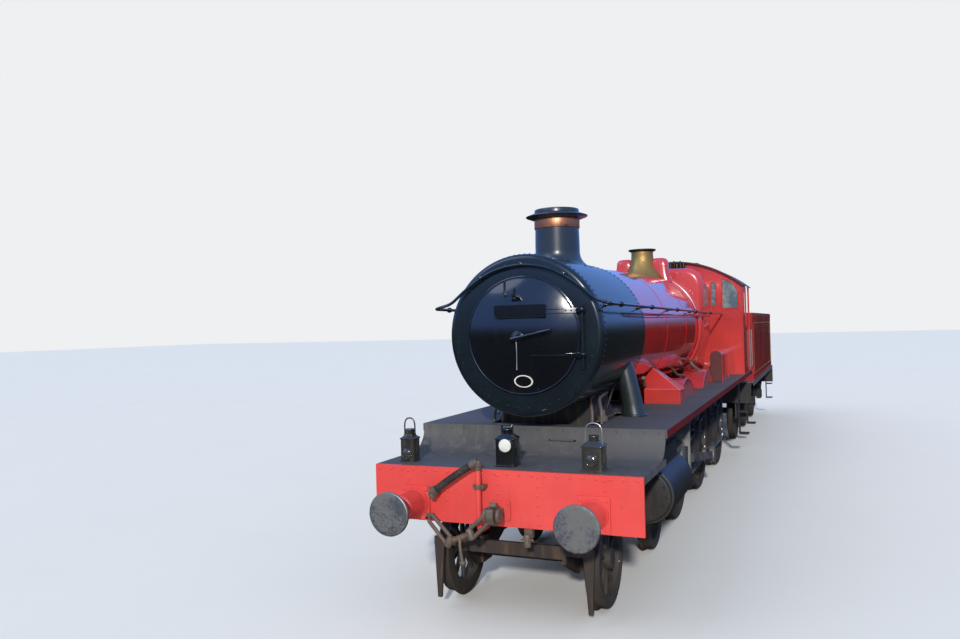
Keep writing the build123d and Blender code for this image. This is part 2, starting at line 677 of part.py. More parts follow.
def ashpan():
    outline = [(-540, FIREBOX_BOTTOM), (540, FIREBOX_BOTTOM), (540, 800), (400, 640), (-400, 640), (-540, 800)]
    return cross_plate(FIREBOX_FRONT + 250, CAB_FRONT - 690, outline)


def bonnet_body(extra):
    """The bonnet's flare and neck without its lip, made larger by extra."""
    foot, waist, bend = (3380, 434 + extra), (3530, 290 + extra), (3730, 194 + extra)
    body = turned_edges(
        Line((3380, 0), foot),
        ThreePointArc(foot, waist, bend),
        Polyline(bend, (3800, 179 + extra), (BONNET_TOP - 38, 176 + extra), (BONNET_TOP - 38, 0), (3380, 0)),
    )
    return Pos(0, BONNET_D, 0) * upright(body)


def safety_valve_bonnet():
    """A flared bonnet with a lipped, hollow top, cut to the barrel."""
    top = BONNET_TOP
    lip = upright(turned([(top - 42, 0), (top - 42, 170), (top - 22, 224), (top, 224), (top, 0)]))
    cast = bonnet_body(0).fuse(Pos(0, BONNET_D, 0) * lip)
    cast = cast - bar_z(top - 120, top + 1, 0, BONNET_D, BONNET_BORE)
    return cast - bar_y(BONNET_D - 1000, BONNET_D + 1000, 0, BOILER_Z, BARREL_REAR_RADIUS + SEAT)


def top_feed():
    """Clack covers each side of the bonnet with the feed pipe covers round the barrel."""
    half, inner = 62, BARREL_REAR_RADIUS + SEAT
    tube = bar_y(BONNET_D - half, BONNET_D + half, 0, BOILER_Z, inner + 50)
    tube = tube - bar_y(BONNET_D - 500, BONNET_D + 500, 0, BOILER_Z, inner)
    low = 2050
    ring = tube & box(230, 1200, BONNET_D - 200, BONNET_D + 200, low, 4000)
    pod = box(215, 425, BONNET_D - 105, BONNET_D + 105, 3300, 3765)
    pod = fillet(pod.edges().filter_by(Axis.Y).group_by(Axis.Z)[-1], 80)
    pod = pod - bar_y(BONNET_D - 500, BONNET_D + 500, 0, BOILER_Z, inner)
    side = joined(ring, pod)
    return group(both(side - bonnet_body(SEAT)))


# Whistles and valves ahead of the cab: x, bell radius, height above the firebox
WHISTLES = ((-10, 30, 382), (60, 22, 407), (115, 34, 362), (180, 24, 402), (245, 30, 372))
BELL_LOW = 150


def whistles():
    """The whistles and steam valves on their carrier, on the firebox top ahead of the cab."""
    mid = CAB_FRONT - 150
    foot = firebox_top(mid - 30) + SEAT
    carrier = box(-45, 280, mid - 30, mid + 30, foot, foot + 60)
    stems = [bar_z(foot + 30, foot + BELL_LOW + 10, x, mid, 14) for x, _, _ in WHISTLES]
    bells = [bar_z(foot + BELL_LOW, foot + height, x, mid, radius) for x, radius, height in WHISTLES]
    return joined(carrier, stems, bells)


# Cab

def roof_z(x, radius=ROOF_RADIUS):
    return ROOF_TOP - ROOF_RADIUS + sqrt(radius ** 2 - x ** 2)


def under_roof(d0, d1):
    """The space under the roof's arch, from d0 to d1."""
    arch = bar_y(d0, d1, 0, ROOF_TOP - ROOF_RADIUS, ROOF_RADIUS - ROOF_T)
    return arch & box(-1600, 1600, d0, d1, PLATE_TOP, 4200)


# Front windows, one side: the outline in (x, z)
MAIN_WINDOW = ((930, 2940), (1232, 2940), (1232, 3270), (1150, 3420), (1050, 3490), (940, 3520))
SMALL_WINDOW = ((722, 2990), (822, 2990), (822, 3440), (770, 3470), (722, 3440))
WINDOWS = (MAIN_WINDOW, SMALL_WINDOW)


def cab_front():
    sheet = under_roof(CAB_FRONT, CAB_FRONT + SHEET)
    sheet = sheet & box(-CAB_HALF, CAB_HALF, CAB_FRONT, CAB_FRONT + SHEET, PLATE_TOP, 4200)
    for outline in WINDOWS:
        for cut in both(cross_plate(CAB_FRONT - 1, CAB_FRONT + SHEET + 1, outline)):
            sheet = sheet - cut
    for hole in both(bar_x(SPLASHER_IN - SEAT, SPLASHER_OUT + SEAT, DRIVER_AXLES["trailing"], DRIVER_RADIUS,
                           SPLASHER_RADIUS + SEAT)):
        sheet = sheet - hole
    return sheet


def cab_windows():
    panes = []
    for outline in WINDOWS:
        panes += both(cross_plate(CAB_FRONT + 2, CAB_FRONT + SHEET - 2, outline))
    return group(panes)


SIDE_FULL = 640
SIDE_LOW = 1080
SIDE_WINDOW = 290
SIDE_FRAME = 130
WAIST = 2560


def cab_sides():
    """Each side sheet with its waist and window, and the pillar that carries the roof's end."""
    d0 = CAB_FRONT + SHEET
    full, low = CAB_FRONT + SIDE_FULL, CAB_FRONT + SIDE_LOW
    sheet = box(CAB_HALF - SHEET, CAB_HALF, d0, low, PLATE_TOP, 3450) & under_roof(d0, CAB_REAR)
    sheet = sheet - box(1200, 1400, full, low + 1, WAIST, 3600)
    sheet = sheet - box(1200, 1400, full - SIDE_FRAME - SIDE_WINDOW, full - SIDE_FRAME, 2800, 3260)
    pillar = bar_z(PLATE_TOP, roof_z(CAB_HALF - 20, ROOF_RADIUS - ROOF_T) - 4, CAB_HALF - 20, CAB_REAR - 60, 17)
    return group(both(sheet) + both(pillar & under_roof(d0, CAB_REAR)))


def cab_roof():
    d0, d1 = CAB_FRONT - 100, CAB_REAR + 60
    arch = bar_y(d0, d1, 0, ROOF_TOP - ROOF_RADIUS, ROOF_RADIUS)
    arch = arch - bar_y(d0 - 1, d1 + 1, 0, ROOF_TOP - ROOF_RADIUS, ROOF_RADIUS - ROOF_T)
    return arch & box(-ROOF_HALF, ROOF_HALF, d0, d1, 3000, 4200)


def cab_floor():
    """The boarded floor, the well plate under it and the fall plate towards the tender."""
    d0 = CAB_FRONT + SHEET
    floor = box(-CAB_HALF + SHEET, CAB_HALF - SHEET, d0, CAB_REAR - 90, PLATE_TOP, PLATE_TOP + FLOOR_T)
    splash = box(SPLASHER_IN, SPLASHER_OUT, d0, DRIVER_AXLES["trailing"] + 700, PLATE_TOP, PLATE_TOP + FLOOR_T)
    for cut in both(splash):
        floor = floor - cut
    fall = box(-700, 700, CAB_REAR - 90, TENDER_FRONT - 110, PLATE_TOP + 10, PLATE_TOP + 20)
    return joined(floor, fall)


def backhead():
    """The firebox's back plate in the cab, with its fire door and gauge shelf."""
    d0 = CAB_FRONT + SHEET
    outline = [(-560, PLATE_TOP + FLOOR_T), (-620, 2500), (-620, 3200), (-480, 3380), (480, 3380), (620, 3200),
               (620, 2500), (560, PLATE_TOP + FLOOR_T)]
    plate = cross_plate(d0, d0 + 260, outline)
    door = box(-230, 230, d0 + 260, d0 + 300, 2050, 2330)
    shelf = box(-380, 380, d0 + 260, d0 + 400, 2480, 2510)
    return joined(plate, door, shelf)


def cab_steps():
    """Two-tread steps below each side of the cab."""
    d0, d1 = CAB_FRONT + 620, CAB_FRONT + 920
    side = joined(
        box(1120, 1128, d0, d1, 420, PLATE_TOP - PLATE_T),
        box(1128, 1300, d0, d1, 420, 440),
        box(1128, 1300, d0, d1, 860, 880),
    )
    return group(both(side))


# Handrails and pipes

RAIL_Z = 2895
RAIL_END_Z = 2835
RAIL_RADIUS = 16
RAIL_X = 935
KNOB_RADIUS = 13
KNOB_D = (960, 2480, 4200, 5900, 7600)


def handrails():
    """One rail from cab to cab round the smokebox front, on knobs, and the thin pipe below it."""
    arch = [(-915, 585, 2900), (-760, 640, 2945), (-560, 660, 3120), (-310, 660, 3268), (0, 660, 3325),
            (310, 660, 3268), (560, 660, 3120), (760, 640, 2945), (915, 585, 2900)]
    end = CAB_FRONT - SEAT
    left = [(-RAIL_X, end, RAIL_END_Z), (-RAIL_X, 1000, RAIL_Z)]
    points = [*left, *arch, (RAIL_X, 1000, RAIL_Z), (RAIL_X, end, RAIL_END_Z)]
    bends = [110, 60, 60] + [150] * 5 + [60, 60, 110]
    rail = bent_bar(points, bends, RAIL_RADIUS)
    pieces = [rail]
    for d in KNOB_D:
        radius = SMOKEBOX_RADIUS if d < SMOKEBOX_REAR else barrel_radius(d + KNOB_RADIUS)
        rail_z = RAIL_Z - (RAIL_Z - RAIL_END_Z) * (d - 1000) / (CAB_FRONT - 1000)
        start = sqrt(radius ** 2 - (rail_z - KNOB_RADIUS - BOILER_Z) ** 2) + SEAT
        if d > FIREBOX_FRONT:
            start = firebox_half(d - KNOB_RADIUS) + SEAT
        knob = bar_x(start, RAIL_X, d, rail_z, KNOB_RADIUS)
        pieces += both(knob)
    post = box(-12, 12, 660, SMOKEBOX_FRONT, 3300, 3324)
    pieces.append(post)
    return joined(pieces)


# Front end: buffers, coupling, pipes and lamps

def buffer_stock():
    """A buffer's flanged stock, on the beam's face at d = 0, pointing forward."""
    flange = box(BUFFER_X - 149, BUFFER_X + 149, -25, 0, BUFFER_Z - 160, BUFFER_Z + 160)
    stock = Pos(BUFFER_X, 0, BUFFER_Z) * along_y(turned([
        (-330, 0), (-330, 104), (-322, 112), (-290, 118), (-60, 122), (-25, 140), (-25, 0),
    ]))
    return joined(flange, stock)


def buffer_head():
    """A buffer's flat round head on its shank."""
    r = BUFFER_HEAD
    front = -BUFFER_LENGTH
    return Pos(BUFFER_X, 0, BUFFER_Z) * along_y(turned([
        (-330, 0), (-330, 58), (-480, 58), (-500, 90),
        (front + 26, r - 4), (front + 20, r), (front + 6, r), (front, r - 6), (front, 0),
    ]))


def to_rear(shape):
    """A front-end piece turned about to the tender's rear beam."""
    return Pos(0, LENGTH_OVER_BEAMS, 0) * Rot(0, 0, 180) * shape


def draw_hook():
    """A draw hook with its plate, and the eyes of the coupling that turn on it."""
    plate = box(-95, 95, -20, 0, 940, 1120)
    shank = box(-32, 32, -130, -20, 995, 1065)
    hook = [(-130, 995), (-130, 1065), (-150, 1120), (-200, 1140), (-222, 1105), (-190, 1090), (-178, 1060),
            (-195, 1040), (-240, 1050), (-262, 1090), (-285, 1080), (-285, 1030), (-250, 985), (-190, 975)]
    hook = side_plate(-26, 26, hook)
    eyes = [bar_x(x - 15, x + 15, -205, 1030, 58) for x in (-62, 62)]
    return joined(plate, shank, hook, eyes, bar_x(-75, 75, -205, 1030, 20))


def bar_between(start, end, radius):
    """A round bar between two points."""
    run = Vector(*end) - Vector(*start)
    bar = Cylinder(radius, run.length, align=(Align.CENTER, Align.CENTER, Align.MIN))
    return Plane(origin=start, z_dir=run) * bar


def slung_coupling():
    """The front screw coupling, slung from its hook to a stowing bracket on the beam's right."""
    near = bent_bar([(-236, -200, 884), (-15, -205, 1085), (22, -205, 1026), (-206, -200, 804)], 24, 15)
    far = bent_bar([(-417, -200, 802), (-655, -130, 990), (-688, -125, 925), (-452, -200, 724)], 22, 14)
    screw = bar_between((-434, -200, 762), (-222, -200, 846), 24)
    nuts = [
        bar_between((-240, -200, 894), (-202, -200, 796), 24),
        bar_between((-413, -200, 812), (-456, -200, 714), 24),
    ]
    bracket = box(-700, -676, -150, 0, 938, 958)
    tip = box(-700, -676, -150, -138, 938, 995)
    return joined(near, far, screw, nuts, bracket, tip)


def hanging_coupling():
    """The rear screw coupling, hanging straight down from its hook."""
    shackle = bent_bar([(-62, -205, 1030), (-62, -225, 760), (62, -225, 760), (62, -205, 1030)], 40, 17)
    screw = bar_x(-130, 130, -225, 760, 26)
    drop = bent_bar([(-105, -225, 760), (-105, -240, 440), (105, -240, 440), (105, -225, 760)], 60, 17)
    return joined(shackle, screw, drop)


PIPE_X = -187
PIPE_D = -80
PIPE_RADIUS = 25
PIPE_HEAD = 40
HOSE_RADIUS = 34
HOSE_ROUTE = [(-252, -99, 1443), (-330, -106, 1396), (-430, -112, 1331), (-524, -113, 1266), (-600, -110, 1212)]
HEAT_X = 270


def vacuum_pipe():
    """The vacuum standpipe with its head, clip and foot, the hose's plug, and the heating cock."""
    foot = BEAM_BOTTOM - PIPE_RADIUS - 10
    pipe = bent_bar([(PIPE_X, 120, foot), (PIPE_X, PIPE_D, foot), (PIPE_X, PIPE_D, 1456)], 60, PIPE_RADIUS)
    clip = box(PIPE_X - 50, PIPE_X + 60, PIPE_D + 10, 0, 1228, 1272)
    head = bar_z(1440, 1492, PIPE_X, PIPE_D, PIPE_HEAD)
    start, second = Vector(*HOSE_ROUTE[0]), Vector(*HOSE_ROUTE[1])
    aim = (second - start).normalized()
    inward = (Align.CENTER, Align.CENTER, Align.MAX)
    spigot = Plane(origin=start, z_dir=aim) * Cylinder(HOSE_RADIUS + 6, 80, align=inward)
    end, before = Vector(*HOSE_ROUTE[-1]), Vector(*HOSE_ROUTE[-2])
    out = (end - before).normalized()
    outward = (Align.CENTER, Align.CENTER, Align.MIN)
    cap = Plane(origin=end, z_dir=out) * Cylinder(HOSE_RADIUS + 12, 60, align=outward)
    bracket = box(-680, -610, -130, 0, 1150, 1172)
    plug = bar_z(1120, 1175, -645, -110, 30)
    cock = box(HEAT_X - 38, HEAT_X + 38, -35, 28, 806, BEAM_BOTTOM)
    outlet = bar_z(735, 850, HEAT_X, -62, 34)
    return group([joined(pipe, clip, head, spigot), joined(cap, bracket, plug), joined(cock, outlet)])


def cord_radii(route):
    """The bend radius at each corner: 0.45 of its shorter run, over the tangent of half the turn."""
    radii = []
    for a, b, c in zip(route, route[1:], route[2:]):
        first, second = Vector(*b) - Vector(*a), Vector(*c) - Vector(*b)
        turn = radians(first.get_angle(second))
        radii.append(0.45 * min(first.length, second.length) / (sin(turn / 2) / cos(turn / 2)))
    return radii


def vacuum_hose():
    radii = cord_radii(HOSE_ROUTE)
    print("vacuum hose bend radii", [round(r) for r in radii])
    path = FilletPolyline(*HOSE_ROUTE, radius=radii)
    hose = sweep(Plane(origin=path @ 0, z_dir=path % 0) * Circle(HOSE_RADIUS), path=path)
    swept = path.length * pi * HOSE_RADIUS ** 2
    print("vacuum hose length", round(path.length), "volume share", hose.volume / swept)
    return hose


# Lamps on the lower platform: x, d, half width, height of the body, share of it up to the lens
LAMPS = ((-1060, 250, 80, 230, 0.33), (-30, 250, 98, 250, 0.69), (830, 200, 100, 230, 0.36))


def lamp(x, d, half, tall, share):
    """A cased lamp with a round lens tube, a chimney and a bail handle."""
    foot = BEAM_TOP
    body = box(x - half, x + half, d - half, d + half, foot, foot + tall)
    cap = Pos(x, d, foot + tall) * extrude(Rectangle(2 * half - 16, 2 * half - 16), amount=40, taper=30)
    stack = bar_z(foot + tall, foot + tall + 90, x, d, 48)
    lens = bar_y(d - half - 18, d - half, x, foot + tall * share, 52)
    top = foot + tall + 195
    low, reach = foot + tall - 30, half - 23
    bail = bent_bar([(x - reach, d, low), (x - reach, d, top), (x + reach, d, top), (x + reach, d, low)], 50, 6)
    return joined(body, cap, stack, lens, bail)


def lamps():
    return group([lamp(*row) for row in LAMPS])


def brake_gear():
    """Hangers and blocks behind each driving wheel, with their cross beams."""
    pieces = []
    for d in DRIVER_AXLES.values():
        near = d + DRIVER_RADIUS
        block = box(720, 812, near - 130, near + 60, 640, 980)
        block = block - bar_x(700, 830, d, DRIVER_RADIUS, DRIVER_RADIUS + 7)
        hanger = box(745, 785, near + 40, near + 75, 560, 1300)
        carrier = bar_x(FRAME_OUTSIDE, 800, near + 57, 1280, 24)
        beam = bar_x(-790, 790, near + 57, 585, 26)
        pieces.append(joined(both(block), both(hanger), both(carrier), beam))
    return group(pieces)


# Bogie

BOGIE_PLATE_X = (500, 540)


def bogie_frame():
    """Side plates, the centre casting with its pivot bore, end bars and guard irons."""
    x0, x1 = BOGIE_PLATE_X
    front, rear = BOGIE_PIVOT_D - 1614, BOGIE_PIVOT_D + 1330
    outline = [
        (front, 520), (BOGIE_AXLES[0] - 150, 330), (BOGIE_AXLES[0] + 150, 330), (1300, 500),
        (2358, 500), (BOGIE_AXLES[1] - 150, 330), (BOGIE_AXLES[1] + 150, 330),
        (rear, 520), (rear, 700), (front, 700),
    ]
    plate = side_plate(x0, x1, outline)
    boxes = [box(470, 605, d - 115, d + 115, 330, 590) for d in BOGIE_AXLES]
    centre = box(-x0, x0, BOGIE_PIVOT_D - 300, BOGIE_PIVOT_D + 300, 520, 760)
    ends = [box(-x0, x0, d, d + 40, 560, 680) for d in (front + 20, rear - 60)]
    guard_iron = [(690, 680), (800, 680), (790, 420), (775, 90), (735, 90), (712, 420)]
    iron = joined(
        box(x1, 800, front, front + 30, 600, 680),
        cross_plate(front, front + 30, guard_iron),
    )
    frame = joined(both(plate), both(boxes[0]), both(boxes[1]), centre, ends, both(iron))
    frame = frame - bar_z(500, 800, 0, BOGIE_PIVOT_D, 90 + RUNNING_FIT)
    for d in BOGIE_AXLES:
        frame = frame - bar_x(-700, 700, d, BOGIE_RADIUS, 75 + RUNNING_FIT)
    return frame


# Tender

TENDER_FRAME_X = (900, 930)


def tender_frame():
    """Outside frame plates with wheel gaps, end beams, cross ties and the drawbar."""
    x0, x1 = TENDER_FRAME_X
    rear = LENGTH_OVER_BEAMS - BEAM_THICK
    under = TENDER_FLOOR - 27
    plate = box(x0, x1, TENDER_FRONT + 40, rear, 560, under)
    for a, b in zip(TENDER_AXLES, TENDER_AXLES[1:]):
        gap = side_plate(x0 - 1, x1 + 1, [(a + 420, 559), (a + 520, 980), (b - 520, 980), (b - 420, 559)])
        plate = plate - gap
    for d in TENDER_AXLES:
        plate = plate - box(x0 - 1, x1 + 1, d - 110, d + 110, 500, 760)
    front = box(-1250, 1250, TENDER_FRONT, TENDER_FRONT + 40, 900, under)
    beam = box(-BEAM_WIDTH / 2, BEAM_WIDTH / 2, rear, LENGTH_OVER_BEAMS, BEAM_BOTTOM, under)
    ties = [box(-x0, x0, (a + b) / 2 - 20, (a + b) / 2 + 20, 700, under)
            for a, b in zip(TENDER_AXLES, TENDER_AXLES[1:])]
    eye = bar_z(DRAWBAR_Z, DRAWBAR_Z + 40, 0, DRAWBAR_PIVOT, 82)
    bar = box(-45, 45, DRAWBAR_PIVOT + 40, TENDER_FRONT, DRAWBAR_Z, DRAWBAR_Z + 40)
    frame = joined(both(plate), front, beam, ties, eye, bar)
    return frame - bar_z(900, 1100, 0, DRAWBAR_PIVOT, 35 + RUNNING_FIT)


def tender_platform():
    """The flat platform under the tank, with edge angles and front steps."""
    under = TENDER_FLOOR - 27
    deck = box(-1311, 1311, TENDER_FRONT, LENGTH_OVER_BEAMS, under, TENDER_FLOOR)
    angle = box(1299, 1311, TENDER_FRONT, LENGTH_OVER_BEAMS, under - 60, under)
    beam = box(-1400, 1400, LENGTH_OVER_BEAMS - BEAM_THICK, LENGTH_OVER_BEAMS + 1, 0, under)
    return joined(deck, both(angle)) - beam


def tender_tank():
    """The water tank with its coal space and the raised coping round the top."""
    tank = box(-TENDER_HALF, TENDER_HALF, TANK_FRONT, TANK_REAR, TENDER_FLOOR, TANK_TOP)
    space = box(-1060, 1060, COAL_FRONT, COAL_REAR, COAL_FLOOR, TANK_TOP + 1)
    coping = box(-TENDER_HALF, TENDER_HALF, TANK_FRONT, TANK_REAR, TANK_TOP, TANK_TOP + 90)
    inner = TENDER_HALF - 14
    coping = coping - box(-inner, inner, TANK_FRONT - 1, TANK_REAR - 14, TANK_TOP - 1, TANK_TOP + 91)
    return joined(tank - space, coping)


def tender_coal():
    """The coal heaped in its space."""
    middle, length = (COAL_FRONT + COAL_REAR) / 2, COAL_REAR - COAL_FRONT
    base = Pos(0, middle, COAL_FLOOR) * Rectangle(2110, length - 10)
    top = Pos(0, middle - 85, TANK_TOP + 80) * Rectangle(1300, length - 930)
    return loft([base, top], ruled=True)


def tender_axleboxes():
    """Axleboxes on the outside frames with their leaf springs and hangers."""
    face = TENDER_FRAME_X[1]
    pieces = []
    for d in TENDER_AXLES:
        block = box(face, face + 140, d - 130, d + 130, 500, 770)
        block = block - bar_x(800, face + 90, d, TENDER_RADIUS, 70 + RUNNING_FIT)
        leaves = [box(face + 30, face + 120, d - half, d + half, z, z + 22)
                  for half, z in ((160, 800), (250, 822), (340, 844), (430, 866), (500, 888))]
        buckle = box(face + 24, face + 126, d - 40, d + 40, 770, 916)
        hangers = [box(face, face + 120, d + s * 480 - 25, d + s * 480 + 25, 860, 960) for s in (-1, 1)]
        pieces += both(joined(block, leaves, buckle, hangers))
    return group(pieces)


def write(name, shape):
    """Shifts a piece from the setting-out data to the model's origin, and writes it."""
    solids = [Pos(0, FRONT_Y, FLANGE) * solid for solid in shape.solids()]
    export_step(solids[0] if len(solids) == 1 else Compound(solids), f"parts/{name}.step")


# Every piece: the file's name and the function that makes it
PIECES = {
    "main_frames": main_frames,
    "driving_axleboxes": driving_axleboxes,
    "front_beam": front_beam,
    "running_plate": running_plate,
    "splashers": splashers,
    "motion_cover": motion_cover,
    "cylinder_saddle": cylinder_saddle,
    "cylinders": cylinders,
    "slidebars": slidebars,
    "connecting_rods": connecting_rods,
    "smokebox": smokebox,
    "smokebox_ring": smokebox_ring,
    "blastpipe": blastpipe,
    "chimney": chimney,
    "chimney_foot": chimney_foot,
    "chimney_band": chimney_band,
    "smokebox_door": smokebox_door,
    "door_furniture": door_furniture,
    "door_plates": door_plates,
    "door_hinge": door_hinge,
    "steam_pipes": steam_pipes,
    "boiler_barrel": boiler_barrel,
    "firebox": firebox,
    "ashpan": ashpan,
    "safety_valve_bonnet": safety_valve_bonnet,
    "top_feed": top_feed,
    "whistles": whistles,
    "cab_front": cab_front,
    "cab_windows": cab_windows,
    "cab_sides": cab_sides,
    "cab_roof": cab_roof,
    "cab_floor": cab_floor,
    "backhead": backhead,
    "cab_steps": cab_steps,
    "handrails": handrails,
    "buffer_stocks": lambda: group(both(buffer_stock())),
    "buffer_heads": lambda: group(both(buffer_head())),
    "front_coupling": lambda: draw_hook().fuse(slung_coupling()),
    "vacuum_pipe": vacuum_pipe,
    "vacuum_hose": vacuum_hose,
    "lamps": lamps,
    "brake_gear": brake_gear,
    "bogie_frame": bogie_frame,
    "bogie_wheels_front": lambda: plain_wheelset(BOGIE_AXLES[0], BOGIE_RADIUS, 10, 110, 44, 50, 75, WHEEL_OUTSIDE),
    "bogie_wheels_rear": lambda: plain_wheelset(BOGIE_AXLES[1], BOGIE_RADIUS, 10, 110, 44, 50, 75, WHEEL_OUTSIDE),
    "driving_wheels_leading": lambda: driving_wheelset("leading"),
    "driving_wheels_main": lambda: driving_wheelset("main"),
    "driving_wheels_trailing": lambda: driving_wheelset("trailing"),
    "coupling_rod_left": lambda: coupling_rod("left"),
    "coupling_rod_right": lambda: coupling_rod("right"),
    "tender_frame": tender_frame,
    "tender_platform": tender_platform,
    "tender_tank": tender_tank,
    "tender_coal": tender_coal,
    "tender_axleboxes": tender_axleboxes,
    "tender_buffers": lambda: to_rear(group(both(buffer_stock().fuse(buffer_head())))),
    "tender_coupling": lambda: to_rear(draw_hook().fuse(hanging_coupling())),
}
for number, axle_d in enumerate(TENDER_AXLES, 1):
    PIECES[f"tender_wheels_{number}"] = (
        lambda axle_d=axle_d: plain_wheelset(axle_d, TENDER_RADIUS, 14, 125, 46, 52, 70, TENDER_FRAME_X[1] + 60))

os.makedirs("parts", exist_ok=True)
for piece_name, make in PIECES.items():
    write(piece_name, make())
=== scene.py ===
"""The looks of a steam locomotive and its tender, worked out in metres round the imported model.

Points are set out as (x, d, z): x to the engine's left, d back from the buffer beam's front face and
z above the rail. Piece.done() shifts them to the model's frame.
"""
from math import cos, pi, radians, sin, sqrt

import bmesh
import bpy
import numpy as np
from mathutils import Matrix, Vector


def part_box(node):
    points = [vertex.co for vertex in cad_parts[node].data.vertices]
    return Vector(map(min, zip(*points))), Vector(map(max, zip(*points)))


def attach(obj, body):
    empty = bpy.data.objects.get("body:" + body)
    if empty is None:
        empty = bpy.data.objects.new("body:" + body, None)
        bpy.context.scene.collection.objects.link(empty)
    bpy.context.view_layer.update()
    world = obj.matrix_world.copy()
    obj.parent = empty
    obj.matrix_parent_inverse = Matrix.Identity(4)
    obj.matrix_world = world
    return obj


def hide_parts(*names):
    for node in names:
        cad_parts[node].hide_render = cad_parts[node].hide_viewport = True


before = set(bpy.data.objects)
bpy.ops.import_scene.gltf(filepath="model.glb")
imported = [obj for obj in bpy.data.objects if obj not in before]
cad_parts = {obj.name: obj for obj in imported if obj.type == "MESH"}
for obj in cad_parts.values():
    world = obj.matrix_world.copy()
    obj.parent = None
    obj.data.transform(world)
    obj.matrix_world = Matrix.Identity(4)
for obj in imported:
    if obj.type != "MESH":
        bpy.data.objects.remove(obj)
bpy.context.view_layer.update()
FLANGE = 0.029
SHIFT = np.array([0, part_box("front_beam")[0].y, FLANGE])


def where(node):
    """A node's lowest and highest corner, as set out."""
    return [np.array(corner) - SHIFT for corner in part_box(node)]


# Shapes: lines of points, and grids of points as (rows, columns, 3)

def lathe(profile, centre, axis, steps=72):
    """Turns rows of (along, radius) round an axis: centre + along + radius * (cos t, sin t)."""
    profile = np.asarray(profile, float)
    t = circle(steps)
    along = profile[:, :1] + 0 * t
    first, second = profile[:, 1:] * np.cos(t), profile[:, 1:] * np.sin(t)
    rows = {"x": [along, centre[0] + first, centre[1] + second],
            "y": [centre[0] + first, along, centre[1] + second],
            "z": [centre[0] + first, centre[1] + second, along]}[axis]
    return np.stack(rows, -1)


def soften(points, radius, steps=4, closed=False):
    """Rounds a line's corners: each is a quadratic curve from radius before the corner to radius after."""
    p = np.asarray(points, float)
    size = p.shape[1]
    before, after = np.roll(p, 1, 0) - p, np.roll(p, -1, 0) - p
    long_a = np.linalg.norm(before, axis=1, keepdims=True) + 1e-12
    long_b = np.linalg.norm(after, axis=1, keepdims=True) + 1e-12
    cut = np.broadcast_to(np.reshape(radius, (-1, 1)), (len(p), 1))
    start = p + before * np.minimum(cut / long_a, 0.48)
    end = p + after * np.minimum(cut / long_b, 0.48)
    t = np.linspace(0, 1, steps)[:, None, None]
    curve = ((1 - t) ** 2 * start + 2 * t * (1 - t) * p + t ** 2 * end).transpose(1, 0, 2)
    if closed:
        return curve.reshape(-1, size)
    return np.vstack([p[:1], curve[1:-1].reshape(-1, size), p[-1:]])


def rounded(x0, x1, y0, y1, radius, steps=4):
    """A rectangle's outline with rounded corners."""
    return soften([(x0, y0), (x1, y0), (x1, y1), (x0, y1)], radius, steps, True)


def tube(path, radius, sides=14):
    """Rings square to a path: path + radius * (cos t * normal + sin t * binormal)."""
    p = np.asarray(path, float)
    along = np.gradient(p, axis=0)
    along /= np.linalg.norm(along, axis=1, keepdims=True)
    plain = np.linalg.eigh(along.T @ along)[1][:, 0]
    side = np.cross(along, plain)
    side /= np.linalg.norm(side, axis=1, keepdims=True)
    up = np.cross(side, along)
    t = circle(sides)[None, :, None]
    reach = np.broadcast_to(np.reshape(radius, (-1, 1, 1)), (len(p), 1, 1))
    return p[:, None] + reach * (np.cos(t) * side[:, None] + np.sin(t) * up[:, None])


def slab(outline, a, b, plane):
    """Two copies of an outline, at a and at b along an axis; the outline is in the other two."""
    o = np.asarray(outline, float)
    rows = []
    for level in (a, b):
        flat = np.full(len(o), float(level))
        order = {"x": [flat, o[:, 0], o[:, 1]], "y": [o[:, 0], flat, o[:, 1]], "z": [o[:, 0], o[:, 1], flat]}
        rows.append(np.stack(order[plane], -1))
    return np.stack(rows)


def block(x0, x1, d0, d1, z0, z1):
    """A block between two corners."""
    return slab([(d0, z0), (d1, z0), (d1, z1), (d0, z1)], x0, x1, "x")


def flip(points):
    """The same points on the other side of the engine."""
    return points * np.array([-1, 1, 1])


def pairs(first, second):
    """Points (first, second) of a section, from numbers and rows of numbers stretched to one length."""
    return np.stack(np.broadcast_arrays(first, second), -1)


def spot(x, d, z):
    """Points (x, d, z), from numbers and rows of numbers stretched to one length."""
    return np.stack(np.broadcast_arrays(x, d, z), -1)


def arc(first, second, radius, t):
    """Points (first + radius sin t, second + radius cos t) of a section."""
    return pairs(first + radius * np.sin(t), second + radius * np.cos(t))


def circle(count):
    """Angles of points evenly spaced round a full circle."""
    return np.linspace(0, 2 * pi, count, endpoint=False)


def ring_points(radius, count, start=0.0, end=2 * pi):
    """Points of (cos t, sin t) * radius, evenly spaced."""
    t = np.linspace(start, end, count, endpoint=abs(end - start) < 2 * pi - 1e-6)
    return radius * np.cos(t), radius * np.sin(t)


